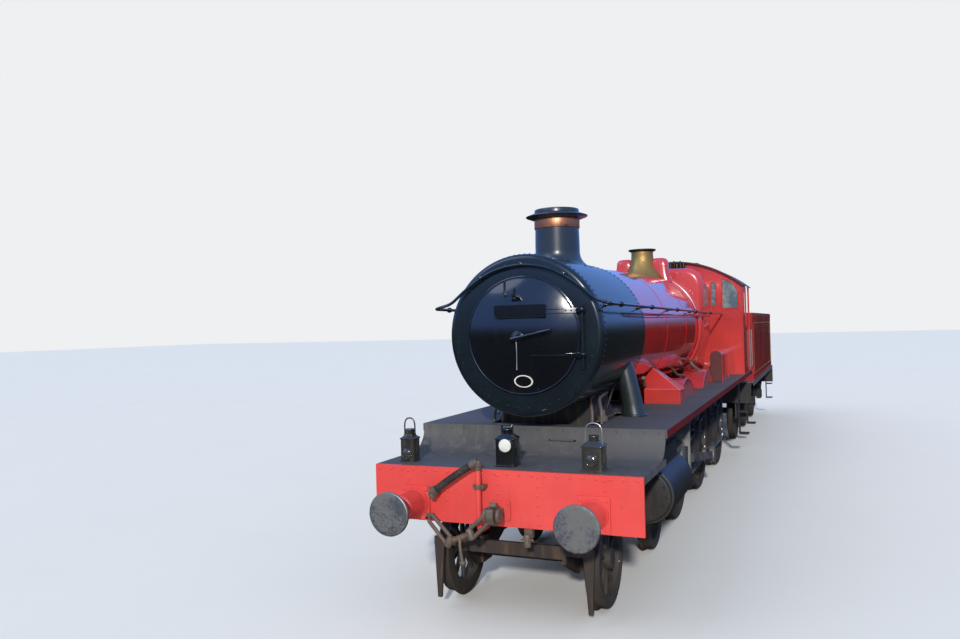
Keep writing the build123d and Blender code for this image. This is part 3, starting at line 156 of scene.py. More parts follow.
class Piece:
    """One visible piece, gathered from grids and rivets, made a mesh by done()."""

    def __init__(self, name):
        self.name, self.points, self.faces, self.count = name, [], [], 0

    def add(self, points, faces):
        """More corners, and faces that count from the first of them."""
        self.points.append(points)
        self.faces.extend((np.asarray(f) + self.count).tolist() for f in faces)
        self.count += len(points)

    def grid(self, points, around=True, loop=False, caps=True, both=False):
        """A grid's quads: closed round each row where around, end to end where loop."""
        if both:
            self.grid(flip(points), around, loop, caps)
        rows, columns, _ = points.shape
        i = np.arange(rows if loop else rows - 1)[:, None]
        j = np.arange(columns if around else columns - 1)[None, :]
        a, b = i * columns, (i + 1) % rows * columns
        k = (j + 1) % columns
        quads = np.stack([a + j, b + j, b + k, a + k], -1).reshape(-1, 4)
        faces = list(quads)
        if caps and around and not loop:
            faces += [np.arange(columns)[::-1], np.arange(columns) + (rows - 1) * columns]
        self.add(points.reshape(-1, 3), faces)
        return self

    def box(self, *corners, side=1, both=False):
        """A block between two corners: x0, x1, d0, d1, z0, z1."""
        return self.grid(block(*corners) * [side, 1, 1], both=both)

    def plate(self, outline, a, b, plane, side=1, both=False):
        """An outline made solid from a to b along an axis."""
        return self.grid(slab(outline, a, b, plane) * [side, 1, 1], both=both)

    def turned(self, profile, centre, axis, steps=72, side=1, both=False, loop=False):
        """A profile turned round an axis, its last row joined to its first where loop."""
        return self.grid(lathe(profile, centre, axis, steps) * [side, 1, 1], loop=loop, caps=False, both=both)

    def pipe(self, path, radius, sides=14, both=False):
        """A round bar along a path."""
        return self.grid(tube(path, radius, sides), both=both)

    def studs(self, points, normals, radius, both=False):
        """Round heads: each ring is radius * w * (cos t, sin t) at height h along the normal."""
        p = np.asarray(points, float).reshape(-1, 3)
        n = np.broadcast_to(np.asarray(normals, float), p.shape)
        n = n / np.linalg.norm(n, axis=1, keepdims=True)
        if both:
            self.studs(flip(p), flip(n), radius)
        other = np.where(np.abs(n[:, 2:]) < 0.9, [[0, 0, 1.0]], [[1.0, 0, 0]])
        u = np.cross(n, other)
        u /= np.linalg.norm(u, axis=1, keepdims=True)
        v = np.cross(n, u)
        t = circle(8)
        wide = np.array([1.0, 0.86, 0.5])[:, None]
        high = np.array([-0.05, 0.36, 0.6])[:, None] + 0 * t
        x, y = wide * np.cos(t), wide * np.sin(t)
        heads = p[:, None, None] + radius * (x[..., None] * u[:, None, None] + y[..., None] * v[:, None, None]
                                             + high[..., None] * n[:, None, None])
        i, j = np.arange(2)[:, None] * 8, np.arange(8)[None, :]
        k = (j + 1) % 8
        quads = np.stack([i + j, i + k, i + 8 + k, i + 8 + j], -1).reshape(-1, 4)
        every = (np.arange(len(p)) * 24)[:, None, None]
        faces = list((quads + every).reshape(-1, 4)) + list((np.arange(8) + 16) + every[:, 0])
        self.add(heads.reshape(-1, 3), faces)
        return self

    def done(self, body, finish, slot=None, replaces=(), bevel=0.0, angle=32):
        """The finished piece: doubles merged, faces turned outwards, riding on its body."""
        mesh = bpy.data.meshes.new(self.name)
        mesh.from_pydata((np.vstack(self.points) + SHIFT).tolist(), [], self.faces)
        work = bmesh.new()
        work.from_mesh(mesh)
        bmesh.ops.remove_doubles(work, verts=work.verts, dist=2e-5)
        bmesh.ops.dissolve_degenerate(work, edges=work.edges, dist=1e-6)
        bmesh.ops.recalc_face_normals(work, faces=work.faces)
        work.to_mesh(mesh)
        work.free()
        mesh.shade_smooth()
        mesh.set_sharp_from_angle(angle=radians(angle))
        mesh.materials.append(finish)
        piece = bpy.data.objects.new(self.name, mesh)
        bpy.context.scene.collection.objects.link(piece)
        if bevel:
            edge = piece.modifiers.new("edges", "BEVEL")
            edge.width, edge.segments, edge.limit_method = bevel, 2, "ANGLE"
            edge.angle_limit = radians(40)
            edge.harden_normals = True
        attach(piece, body)
        if replaces:
            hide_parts(*replaces)
        return piece


# Finishes

class Socket:
    """One output of a node; arithmetic on it adds Math nodes."""

    def __init__(self, finish, out):
        self.finish, self.out = finish, out

    def maths(self, operation, a, b, clamp=False):
        """A Math node on two numbers or outputs."""
        return self.finish.node("ShaderNodeMath", {"operation": operation, "use_clamp": clamp}, {0: a, 1: b})

    def __add__(self, other):
        return self.maths("ADD", self, other)

    __radd__ = __add__

    def __sub__(self, other):
        return self.maths("SUBTRACT", self, other)

    def __rsub__(self, other):
        return self.maths("SUBTRACT", other, self)

    def __mul__(self, other):
        return self.maths("MULTIPLY", self, other)

    __rmul__ = __mul__

    def held(self):
        """The value held between 0 and 1."""
        return self.maths("ADD", self, 0.0, True)


class Finish:
    """A material whose colour, roughness and bump are worked out from Object coordinates."""

    def __init__(self, name, metallic=0.0, coat=0.0, ior=1.5):
        self.material = bpy.data.materials.new(name)
        self.material.use_nodes = True
        self.tree = self.material.node_tree
        self.tree.nodes.clear()
        self.shader = self.tree.nodes.new("ShaderNodeBsdfPrincipled")
        output = self.tree.nodes.new("ShaderNodeOutputMaterial")
        self.tree.links.new(self.shader.outputs["BSDF"], output.inputs["Surface"])
        self.shader.inputs["Metallic"].default_value = metallic
        self.shader.inputs["Coat Weight"].default_value = coat
        self.shader.inputs["Coat Roughness"].default_value = 0.08
        self.shader.inputs["IOR"].default_value = ior
        self.place = self.node("ShaderNodeTexCoord", {}, {}, "Object")

    def node(self, kind, settings, inputs, out=0):
        """Any node: its settings first, then the values or links of its sockets."""
        made = self.tree.nodes.new(kind)
        for key, value in settings.items():
            setattr(made, key, value)
        for key, value in inputs.items():
            if isinstance(value, Socket):
                self.tree.links.new(value.out, made.inputs[key])
            else:
                made.inputs[key].default_value = value
        return Socket(self, made.outputs[out])

    def noise(self, scale, detail=4.0, stretch=(1, 1, 1)):
        """Noise between 0 and 1, its cells drawn out where the stretch is below 1."""
        moved = self.node("ShaderNodeMapping", {}, {"Vector": self.place, "Scale": stretch})
        inputs = {"Vector": moved, "Scale": scale, "Detail": detail, "Roughness": 0.55}
        return self.node("ShaderNodeTexNoise", {}, inputs, "Fac")

    def cells(self, scale):
        """The distance to the nearest of scattered points."""
        return self.node("ShaderNodeTexVoronoi", {}, {"Vector": self.place, "Scale": scale}, "Distance")

    def part(self, axis):
        """One of the Object coordinates."""
        return self.node("ShaderNodeSeparateXYZ", {}, {0: self.place}, axis)

    def mask(self, value, low, high):
        """0 at low and 1 at high, smooth between."""
        return self.node("ShaderNodeMapRange", {"interpolation_type": "SMOOTHSTEP"},
                         {"Value": value, "From Min": low, "From Max": high})

    def mix(self, share, a, b):
        """A colour between a, at 0, and b, at 1."""
        return self.node("ShaderNodeMix", {"data_type": "RGBA"}, {0: share, 6: a, 7: b}, 2)

    def put(self, socket, value):
        """A value or a link for one of the shader's inputs."""
        if isinstance(value, Socket):
            self.tree.links.new(value.out, self.shader.inputs[socket])
        else:
            self.shader.inputs[socket].default_value = value
        return self

    def bump(self, value, distance, strength=1.0):
        """Fine relief, distance metres high where the value is 1."""
        made = self.node("ShaderNodeBump", {}, {"Height": value, "Distance": distance, "Strength": strength})
        return self.put("Normal", made)


def srgb(*colour):
    """A colour as seen, red, green and blue from 0 to 255, as linear light."""
    seen = np.array(colour) / 255
    linear = np.where(seen <= 0.04045, seen / 12.92, ((seen + 0.055) / 1.055) ** 2.4)
    return (*[float(c) for c in linear], 1.0)


def paint(name, colour, dark, grime, rough=0.3, coat=0.5, dirt=0.5, low=None, chips=None, wave=0.0012):
    """Brushed paint: broad shade changes, run-down streaks of grime, dull patches and small chips."""
    f = Finish(name, coat=coat)
    broad = f.noise(0.9, 5)
    fine = f.noise(26, 6)
    streak = f.noise(5, 4, (3.2, 3.2, 0.35))
    body = f.mix(f.mask(broad, 0.35, 0.75), srgb(*colour), srgb(*dark))
    soil = f.mask(streak * 0.6 + broad * 0.32 + fine * 0.08, 0.58 - 0.14 * dirt, 0.8 - 0.1 * dirt)
    if low:
        soil = (soil * 0.6 + f.mask(f.part("Z") + (streak - 0.5) * 0.35, low[0], low[1]) * 0.75).held()
    soil = soil * (0.75 * dirt)
    shown = f.mix(soil, body, srgb(*grime))
    if chips:
        flakes = f.mask(f.noise(60, 3) * 0.6 + f.noise(7, 2) * 0.4, 0.66, 0.69)
        shown = f.mix(flakes * 0.8, shown, srgb(*chips))
    f.put("Base Color", shown)
    f.put("Roughness", (soil * 0.45 + fine * 0.06 + (rough - 0.03)).held())
    f.put("Coat Weight", ((1 - soil * 1.3) * coat).held())
    f.bump(f.noise(5, 2) * 0.9 + fine * 0.1, wave, 0.4)
    return f.material


def metal(name, colour, worn, rough=0.35, turning=None, grime=0.4, grain=90):
    """Bare metal: fine scratches, and tarnish in patches that look like oily dirt."""
    f = Finish(name, metallic=1.0)
    broad, fine = f.noise(3, 5), f.noise(grain, 4, turning or (1, 1, 1))
    tarnish = f.mask(broad * 0.7 + fine * 0.3, 0.42, 0.72)
    shown = f.mix(tarnish * 0.85, srgb(*colour), srgb(*worn))
    f.put("Base Color", shown)
    f.put("Metallic", (1 - tarnish * grime).held())
    f.put("Roughness", (fine * 0.25 + tarnish * 0.3 + (rough - 0.12)).held())
    f.bump(fine * 0.5 + broad * 0.5, 0.0012, 0.5)
    return f.material


def rough_iron(name, colour, rust, share=0.5, rough=0.75):
    """Cast or forged iron: blotches of brown rust over dark scale, pitted."""
    f = Finish(name)
    broad, fine = f.noise(5, 6), f.noise(70, 5)
    red = f.mask(broad * 0.6 + fine * 0.4, 0.62 - 0.25 * share, 0.8 - 0.2 * share)
    f.put("Base Color", f.mix(red, srgb(*colour), srgb(*rust)))
    f.put("Roughness", (fine * 0.3 + rough - 0.12).held())
    f.put("Metallic", ((1 - red) * 0.35).held())
    f.bump(fine * 0.7 + broad * 0.3, 0.003, 0.7)
    return f.material


def timber_boards():
    """Worn floor boards across the cab, with grain along each board and dark joints."""
    f = Finish("worn boards")
    grain = f.noise(14, 6, (0.35, 9, 1))
    wave = f.node("ShaderNodeMath", {"operation": "FRACT"}, {0: f.part("Y") * 6.6})
    joint = f.mask(wave, 0.05, 0.0)
    board = f.mix(f.mask(grain, 0.3, 0.7), srgb(121, 96, 66), srgb(72, 55, 38))
    f.put("Base Color", f.mix(joint, board, srgb(18, 14, 10)))
    f.put("Roughness", (grain * 0.2 + 0.6).held())
    f.bump(grain * 0.4 - joint, 0.004, 0.7)
    return f.material


def glass_pane(name, tint, alpha, rough=0.05):
    """A pane with a film of dust."""
    f = Finish(name, ior=1.45)
    dust = f.noise(6, 5)
    f.put("Base Color", f.mix(f.mask(dust, 0.4, 0.8), srgb(*tint), srgb(150, 155, 152)))
    f.put("Roughness", (dust * 0.2 + rough).held())
    f.put("Alpha", (f.mask(dust, 0.3, 0.9) * 0.25 + alpha).held())
    return f.material


def lens_glass(name, tint, edge):
    """A round lens, its tint clouded towards another."""
    f = Finish(name, coat=1.0)
    swirl = f.noise(20, 2)
    f.put("Base Color", f.mix(swirl, srgb(*tint), srgb(*edge)))
    f.put("Roughness", (swirl * 0.1 + 0.05).held())
    return f.material


def coal_finish():
    """Broken coal: dull black with bright facets."""
    f = Finish("coal")
    facet = f.cells(16)
    f.put("Base Color", f.mix(f.mask(facet, 0.1, 0.6), srgb(14, 14, 15), srgb(38, 38, 40)))
    f.put("Roughness", (f.mask(f.noise(18), 0.4, 0.6) * 0.5 + 0.25).held())
    f.bump(facet, 0.02, 0.6)
    return f.material


CRIMSON = paint("crimson paint", (188, 56, 53), (166, 42, 41), (112, 44, 40), 0.26, 0.7, 0.35,
                wave=0.0004)
BARREL_RED = paint("barrel crimson", (184, 22, 28), (158, 15, 21), (118, 26, 26), 0.1, 1.0, 0.16,
                   wave=0.0002)
BEAM_RED = paint("beam vermilion", (214, 70, 66), (198, 56, 54), (128, 62, 54), 0.45, 0.15, 0.5,
                 chips=(130, 72, 64))
MAROON = paint("tender maroon", (158, 34, 40), (128, 24, 30), (88, 44, 40), 0.25, 0.6, 0.4,
               wave=0.0004)
BLACK = paint("smokebox black", (19, 30, 35), (11, 19, 25), (48, 58, 60), 0.24, 0.45, 0.32,
              wave=0.0005)
DOOR_BLACK = paint("door black", (15, 19, 25), (10, 13, 18), (48, 54, 56), 0.16, 1.0, 0.25,
                   wave=0.0006)
FRAME_BLACK = paint("frame black", (30, 30, 31), (20, 20, 21), (70, 60, 50), 0.5, 0.1, 0.9,
                    low=(1.2, 0.2))
SADDLE_BLACK = paint("sooty saddle", (40, 38, 36), (26, 25, 24), (92, 78, 64), 0.7, 0.0, 0.9)
BOGIE_BROWN = paint("oily bogie brown", (56, 45, 38), (38, 31, 27), (98, 74, 54), 0.6, 0.0, 0.9)
PLATFORM = paint("platform grey", (80, 80, 82), (58, 59, 62), (108, 106, 102), 0.7, 0.0, 0.8,
                 chips=(118, 92, 72), wave=0.002)
CHIMNEY_BLACK = paint("chimney black", (36, 44, 52), (24, 30, 37), (74, 80, 80), 0.32, 0.45, 0.5)
VALANCE_RED = paint("valance red", (116, 18, 22), (88, 14, 18), (66, 44, 38), 0.4, 0.3, 0.7)
# Light red for the motion cover beads: a painted highlight along the casing's edges.
HIGHLIGHT_BEAD_RED = paint("red bead with painted highlight", (208, 104, 92), (196, 70, 60), (120, 60, 50), 0.35, 0.4, 0.4)
TUNNEL_END = paint("tunnel end", (84, 34, 34), (58, 24, 25), (70, 62, 56), 0.4, 0.3, 0.6)
ROOF_GREY = paint("roof grey", (72, 72, 74), (52, 52, 54), (104, 102, 98), 0.6, 0.05, 0.8)
LAMP_GREY = paint("lamp grey", (48, 48, 44), (28, 28, 27), (104, 96, 78), 0.35, 0.4, 0.8,
                  chips=(138, 108, 78))
PIPE_BLACK = paint("steam pipe casing", (34, 42, 42), (22, 28, 29), (86, 88, 82), 0.38, 0.4, 0.6)
LAMP_BLACK = paint("lamp black", (20, 22, 24), (13, 14, 16), (60, 60, 58), 0.28, 0.5, 0.4)
STEEL = metal("worn steel", (168, 168, 164), (92, 90, 84), 0.4)
BUFFER_STEEL = metal("buffer steel", (140, 141, 138), (78, 76, 70), 0.5, grime=0.75, grain=45)
ROD_STEEL = metal("oiled rod steel", (172, 170, 164), (96, 84, 70), 0.34, (1, 0.1, 1), 0.5)
BRASS = metal("bonnet brass", (178, 146, 82), (128, 104, 64), 0.36, (1, 1, 6), 0.5, 30)
# A dark copy of the bonnet brass: painted shade on the bonnet's lip, its two valves and the whistle bells.
SHADED_BRASS = metal("brass with painted shade", (70, 64, 56), (44, 40, 36), 0.4)
COPPER = metal("copper band", (196, 132, 98), (140, 98, 80), 0.34, (1, 1, 6), 0.4, 30)
COUPLING_IRON = rough_iron("coupling iron", (100, 90, 80), (122, 92, 70), 0.5, 0.5)
CAST_IRON = rough_iron("cast iron", (46, 44, 42), (80, 60, 46), 0.35, 0.7)
RUBBER = rough_iron("hose rubber", (48, 44, 41), (82, 74, 64), 0.5, 0.75)
WHITE = paint("white enamel", (228, 228, 222), (206, 206, 198), (120, 112, 100), 0.35, 0.3, 0.4)
LINING = paint("lining yellow", (190, 150, 70), (160, 122, 58), (80, 62, 44), 0.35, 0.3, 0.4)
BOARDS = timber_boards()
COAL = coal_finish()
PANE = glass_pane("window glass", (70, 92, 108), 0.8)
# The middle lamp's lens is near white: a painted reflection of daylight in its glass.
REFLECTION_PAINTED_LENS = lens_glass("lens with painted reflection", (226, 228, 222), (192, 196, 190))
DARK_LENS = lens_glass("dark lens", (34, 38, 38), (64, 68, 64))

# Finishes of the nodes whose solids already have the right shape
NODE_FINISH = {
    "main_frames": FRAME_BLACK, "driving_axleboxes": CAST_IRON, "front_beam": BEAM_RED,
    "running_plate": PLATFORM, "cylinder_saddle": SADDLE_BLACK, "slidebars": STEEL,
    "connecting_rods": ROD_STEEL, "blastpipe": CAST_IRON, "door_hinge": BLACK, "ashpan": FRAME_BLACK,
    "cab_front": CRIMSON, "cab_windows": PANE, "cab_sides": CRIMSON, "cab_floor": BOARDS,
    "backhead": FRAME_BLACK, "cab_steps": FRAME_BLACK, "brake_gear": FRAME_BLACK,
    "bogie_frame": BOGIE_BROWN, "tender_frame": FRAME_BLACK, "tender_platform": PLATFORM,
}
for node_name, node_finish in NODE_FINISH.items():
    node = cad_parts[node_name]
    node.data.materials.clear()
    node.data.materials.append(node_finish)

# Camera, light and floor

CAMERA_PLACE = np.array([2.753, -6.738, 2.71])
CAMERA_YAW, CAMERA_PITCH, CAMERA_ROLL = radians(23.392), radians(0.52), radians(-1.466)
FOCAL_PIXELS, PHOTO_WIDTH, SENSOR = 796.1, 960, 36.0


def make_camera():
    """The photograph's camera: yaw to the left, pitch up, then roll about the line of sight."""
    level = np.array([-sin(CAMERA_YAW), cos(CAMERA_YAW), 0])
    right = np.array([cos(CAMERA_YAW), sin(CAMERA_YAW), 0])
    ahead = level * cos(CAMERA_PITCH) + np.array([0, 0, sin(CAMERA_PITCH)])
    up = np.cross(right, ahead)
    right, up = (right * cos(CAMERA_ROLL) + up * sin(CAMERA_ROLL),
                 up * cos(CAMERA_ROLL) - right * sin(CAMERA_ROLL))
    data = bpy.data.cameras.new("photo_camera")
    data.sensor_width, data.lens = SENSOR, FOCAL_PIXELS / PHOTO_WIDTH * SENSOR
    data.clip_start, data.clip_end = 0.1, 400
    camera = bpy.data.objects.new("photo_camera", data)
    turn = Matrix(np.column_stack([right, up, -ahead]).tolist()).to_4x4()
    camera.matrix_world = Matrix.Translation(CAMERA_PLACE + SHIFT) @ turn
    bpy.context.scene.collection.objects.link(camera)
    bpy.context.scene.camera = camera


def make_sun(name, toward, strength, soft, colour=(1, 1, 1)):
    """A sun whose light travels along toward, its disc soft degrees wide."""
    data = bpy.data.lights.new(name, "SUN")
    data.energy, data.angle, data.color = strength, radians(soft), colour
    lamp = bpy.data.objects.new(name, data)
    lamp.rotation_euler = Vector(toward).to_track_quat("-Z", "Y").to_euler()
    bpy.context.scene.collection.objects.link(lamp)


def make_world():
    """A pale room to the camera, blue sky over dark ground to reflections, soft light for the rest."""
    world = bpy.data.worlds.new("pale_room")
    bpy.context.scene.world = world
    world.use_nodes = True
    tree = world.node_tree
    tree.nodes.clear()
    new, link = tree.nodes.new, tree.links.new
    place, split, path = new("ShaderNodeTexCoord"), new("ShaderNodeSeparateXYZ"), new("ShaderNodeLightPath")
    link(place.outputs["Generated"], split.inputs[0])

    def sky(stops, strength):
        """A light whose colour goes through the stops (height, colour)."""
        ramp, light = new("ShaderNodeValToRGB"), new("ShaderNodeBackground")
        while len(ramp.color_ramp.elements) < len(stops):
            ramp.color_ramp.elements.new(0.5)
        for element, (position, colour) in zip(ramp.color_ramp.elements, stops):
            element.position, element.color = position, (*colour, 1)
        link(split.outputs["Z"], ramp.inputs[0])
        link(ramp.outputs[0], light.inputs["Color"])
        light.inputs["Strength"].default_value = strength
        return light

    soft = sky(((0.0, (0.34, 0.34, 0.34)), (0.6, (0.72, 0.84, 1.0))), 0.62)
    seen = sky(((0.0, (0.018, 0.019, 0.018)), (0.03, (0.05, 0.07, 0.1)), (0.1, (0.16, 0.32, 0.84)),
                (0.35, (0.17, 0.36, 0.9)), (1.0, (0.14, 0.32, 0.86))), 1.15)
    plain = new("ShaderNodeBackground")
    plain.inputs["Color"].default_value = (0.86, 0.87, 0.88, 1)
    glossy, choose, out = new("ShaderNodeMixShader"), new("ShaderNodeMixShader"), new("ShaderNodeOutputWorld")
    link(path.outputs["Is Glossy Ray"], glossy.inputs[0])
    link(soft.outputs[0], glossy.inputs[1])
    link(seen.outputs[0], glossy.inputs[2])
    link(path.outputs["Is Camera Ray"], choose.inputs[0])
    link(glossy.outputs[0], choose.inputs[1])
    link(plain.outputs[0], choose.inputs[2])
    link(choose.outputs[0], out.inputs["Surface"])


def make_floor():
    """A pale floor, which reflections see as dark ground."""
    f = Finish("pale floor")
    f.put("Base Color", f.mix(f.noise(0.5, 3), (0.84, 0.84, 0.835, 1), (0.88, 0.88, 0.875, 1)))
    f.put("Roughness", 0.8)
    nodes, link = f.tree.nodes, f.tree.links.new
    ground = nodes.new("ShaderNodeBsdfDiffuse")
    ground.inputs["Color"].default_value = (0.018, 0.017, 0.016, 1)
    choose, path = nodes.new("ShaderNodeMixShader"), nodes.new("ShaderNodeLightPath")
    link(path.outputs["Is Glossy Ray"], choose.inputs[0])
    link(f.shader.outputs[0], choose.inputs[1])
    link(ground.outputs[0], choose.inputs[2])
    output = next(n for n in nodes if n.type == "OUTPUT_MATERIAL")
    link(choose.outputs[0], output.inputs["Surface"])
    mesh = bpy.data.meshes.new("floor")
    half, drop = 150, -0.001
    mesh.from_pydata([(-half, -half, drop), (half, -half, drop), (half, half, drop), (-half, half, drop)],
                     [], [(0, 1, 2, 3)])
    mesh.materials.append(f.material)
    floor = bpy.data.objects.new("floor", mesh)
    bpy.context.scene.collection.objects.link(floor)


make_camera()
make_world()
make_floor()
make_sun("key", (-0.25, 0.92, -0.38), 2.9, 3, (1.0, 0.95, 0.87))
make_sun("fill", (0.55, 0.5, -0.75), 0.5, 40, (0.9, 0.95, 1.0))
bpy.context.scene.view_settings.view_transform = "Standard"

# The vacuum hose: the route's points, and a ribbed tube along the smooth line through them

HOSE_ROUTE = [(-0.252, -0.099, 1.443), (-0.33, -0.106, 1.396), (-0.43, -0.112, 1.331),
              (-0.524, -0.113, 1.266), (-0.6, -0.11, 1.212)]
HOSE_RADIUS = 0.034


def smooth_line(route):
    """Points along the route's NURBS line of order 3, and its length."""
    data = bpy.data.curves.new("route", "CURVE")
    data.dimensions = "3D"
    spline = data.splines.new("NURBS")
    spline.points.add(len(route) - 1)
    for point, place in zip(spline.points, route):
        point.co = (*place, 1)
    spline.order_u, spline.use_endpoint_u, spline.resolution_u = 3, True, 24
    holder = bpy.data.objects.new("route", data)
    line = bpy.data.meshes.new_from_object(holder)
    points = np.zeros(len(line.vertices) * 3)
    line.vertices.foreach_get("co", points)
    points = points.reshape(-1, 3)
    bpy.data.objects.remove(holder)
    bpy.data.meshes.remove(line)
    return points, float(np.linalg.norm(np.diff(points, axis=0), axis=1).sum())


def make_hose():
    """A ribbed hose: the radius falls by a tenth between ribs, as |sin| of the distance along."""
    line, length = smooth_line(HOSE_ROUTE)
    far = np.concatenate([[0], np.cumsum(np.linalg.norm(np.diff(line, axis=0), axis=1))])
    at = np.linspace(0, length, 150)
    path = np.stack([np.interp(at, far, line[:, k]) for k in range(3)], -1)
    radius = HOSE_RADIUS * (0.9 + 0.1 * np.abs(np.sin(at / 0.0125 * pi)) ** 0.6)
    hose = Piece("hose_ribbed").pipe(path, radius, 24)
    made = hose.done("engine", RUBBER, "hose_rubber", ["vacuum_hose"], angle=50)


make_hose()

# Boiler, smokebox and firebox

smoke_low, smoke_high = where("smokebox")
BOILER_Z = (smoke_low[2] + smoke_high[2]) / 2
SMOKE_R = (smoke_high[2] - smoke_low[2]) / 2
SMOKE_FRONT, SMOKE_REAR = where("smokebox_ring")[0][1], smoke_high[1]
barrel_low, barrel_high = where("boiler_barrel")
BARREL_R = (barrel_high[0] - barrel_low[0]) / 2
BARREL_FRONT_R, CONE_END = 0.795, 6.5
FIREBOX_FRONT = barrel_high[1]
DOOR_R, DOOR_OPENING, DOOR_DISH = 0.592, 0.56, 0.1
DOOR_APEX = where("smokebox_door")[0][1]


def smokebox():
    """The drum: a flat front ring, a quarter-round bend and the wrapper, with its rivets."""
    bend, wall, lip, rear = 0.06, 0.016, 0.025, SMOKE_REAR - 0.02
    inner = SMOKE_R - wall
    t = np.linspace(0, pi / 2, 9)
    corner = pairs(SMOKE_FRONT + bend * (1 - np.cos(t)), SMOKE_R - bend + bend * np.sin(t))
    rows = np.vstack([[(SMOKE_FRONT, DOOR_OPENING)], corner,
                      [(SMOKE_REAR, SMOKE_R), (SMOKE_REAR, 0), (rear, 0), (rear, inner),
                       (SMOKE_FRONT + lip, inner), (SMOKE_FRONT + lip, DOOR_OPENING)]])
    piece = Piece("smokebox_drum").turned(rows, (0, BOILER_Z), "y", 128, loop=True)
    for d in (SMOKE_FRONT + 0.085, SMOKE_REAR - 0.035):
        x, z = ring_points(SMOKE_R, 92)
        piece.studs(spot(x, d, BOILER_Z + z), spot(x, 0, z), 0.011)
    x, z = ring_points(0.725, 40, radians(8), radians(352))
    piece.studs(spot(x, SMOKE_FRONT, BOILER_Z + z), [0, -1, 0], 0.0085)
    for angle in (-52, -128):
        d = np.linspace(SMOKE_FRONT + 0.2, SMOKE_REAR - 0.15, 24)
        x, z = SMOKE_R * cos(radians(angle)), SMOKE_R * sin(radians(angle))
        piece.studs(spot(x, d, BOILER_Z + z), [x, 0, z], 0.01)
    piece.done("engine", BLACK, "black_paint", ["smokebox", "smokebox_ring"], angle=40)


def door_depth(radius):
    """How far the dished door's face lies behind its middle, at a radius."""
    ball = (DOOR_R ** 2 + DOOR_DISH ** 2) / (2 * DOOR_DISH)
    return ball - np.sqrt(ball ** 2 - np.square(radius))


def smokebox_door():
    """The dished door: depth = R - sqrt(R^2 - r^2), with a flat rim and a rounded edge bead."""
    r = np.linspace(0, DOOR_R - 0.012, 26)
    face = pairs(DOOR_APEX + door_depth(r), r)
    edge = DOOR_APEX + DOOR_DISH
    back = SMOKE_FRONT - 0.0006
    rim = [(edge - 0.004, DOOR_R - 0.006), (edge, DOOR_R), (back, DOOR_R), (back, 0)]
    rows = np.vstack([face, soften(rim, 0.004)])
    Piece("door_dish").turned(rows, (0, BOILER_Z), "y", 128).done(
        "door", DOOR_BLACK, "black_paint", ["smokebox_door"], angle=30)
    t = circle(10)
    bead = pairs(edge + 0.002 + 0.011 * np.cos(t), DOOR_R - 0.008 + 0.011 * np.sin(t))
    Piece("door_rim_bead").turned(bead, (0, BOILER_Z), "y", 128, loop=True).done(
        "door", DOOR_BLACK, "black_paint")


def on_door(x, z, lift=0.0):
    """Points lifted off the door's dished face at (x, z above the middle)."""
    return spot(x, DOOR_APEX + door_depth(np.hypot(x, z)) - lift, BOILER_Z + z)


def door_strap(piece, z, x0, x1, half, thick):
    """A strap that follows the dished face: four edges swept along x."""
    x = np.linspace(x0, x1, 22)
    edges = ((-1, -0.002), (-1, thick), (1, thick), (1, -0.002))
    rows = [on_door(x, z + s * half, lift) for s, lift in edges]
    piece.grid(np.stack(rows, 1))


HINGE_X, HINGE_D = 0.617, 0.672


def door_furniture():
    """Hinge straps and eyes, the two locking handles, and the lamp bracket."""
    piece = Piece("door_straps")
    for z, start, half in ((0.211, 0.262, 0.006), (0.253, 0.262, 0.006), (-0.203, 0.1, 0.007)):
        door_strap(piece, z, start, 0.566, half, 0.012)
    for z in (0.232, -0.203):
        half = 0.022
        door_strap(piece, z, 0.44, 0.575, half, 0.012)
        zc = BOILER_Z + z
        piece.box(0.56, HINGE_X, HINGE_D - 0.02, HINGE_D - 0.006, zc - half, zc + half)
        eye = soften([(zc - half, 0), (zc - half, 0.028), (zc + half, 0.028), (zc + half, 0)], 0.006)
        piece.turned(eye, (HINGE_X, HINGE_D), "z", 24)
        x = np.array([0.46, 0.51, 0.555])
        piece.studs(on_door(x, z, 0.012), [0, -1, 0], 0.009)
    piece.done("door", DOOR_BLACK, "black_paint", ["door_furniture"], bevel=0.0025)

    piece = Piece("door_handles")
    x0, z0, apex = -0.02, BOILER_Z - 0.025, DOOR_APEX
    hub = soften([(apex + 0.02, 0.075), (apex - 0.008, 0.07), (apex - 0.012, 0.046), (apex - 0.05, 0.036),
                  (apex - 0.07, 0.026), (apex - 0.07, 0)], 0.006)
    piece.turned(hub, (x0, z0), "y", 32)
    arm = soften([(x0 - 0.05, apex - 0.058, z0 - 0.011), (x0 + 0.06, apex - 0.062, z0 + 0.013),
                  (x0 + 0.2, apex - 0.052, z0 + 0.043), (x0 + 0.358, apex - 0.056, z0 + 0.076)], 0.04, 6)
    share = np.linspace(0, 1, len(arm))
    piece.pipe(arm, np.interp(share, [0, 0.2, 0.75, 0.92, 1], [0.02, 0.017, 0.012, 0.019, 0.012]), 12)
    piece.box(x0 - 0.032, x0 + 0.05, apex - 0.05, apex - 0.018, z0 - 0.022, z0 + 0.022)
    low = soften([(x0, apex - 0.043, z0 - 0.01), (x0 + 0.004, apex - 0.044, z0 - 0.15),
                  (x0, apex - 0.043, z0 - 0.31)], 0.05, 5)
    share = np.linspace(0, 1, len(low))
    handle = tube(low, np.interp(share, [0, 0.3, 0.85, 1], [0.009, 0.005, 0.004, 0.007]), 10)
    x0, iron = -0.062, BOILER_Z + 0.378
    piece.box(x0 + 0.015, x0 + 0.055, apex - 0.062, apex + 0.055, iron, iron + 0.025)
    piece.box(x0 - 0.063, x0 + 0.055, apex - 0.062, apex - 0.048, iron, iron + 0.025)
    piece.box(x0 - 0.063, x0 - 0.055, apex - 0.08, apex - 0.03, iron, iron + 0.165)
    piece.studs([(x0 + 0.035, apex - 0.062, iron + 0.012)], [0, -1, 0], 0.01)
    piece.done("door", DOOR_BLACK, "black_paint", bevel=0.002)
    Piece("door_handle_low").grid(handle).done("door", STEEL, "bright_steel")


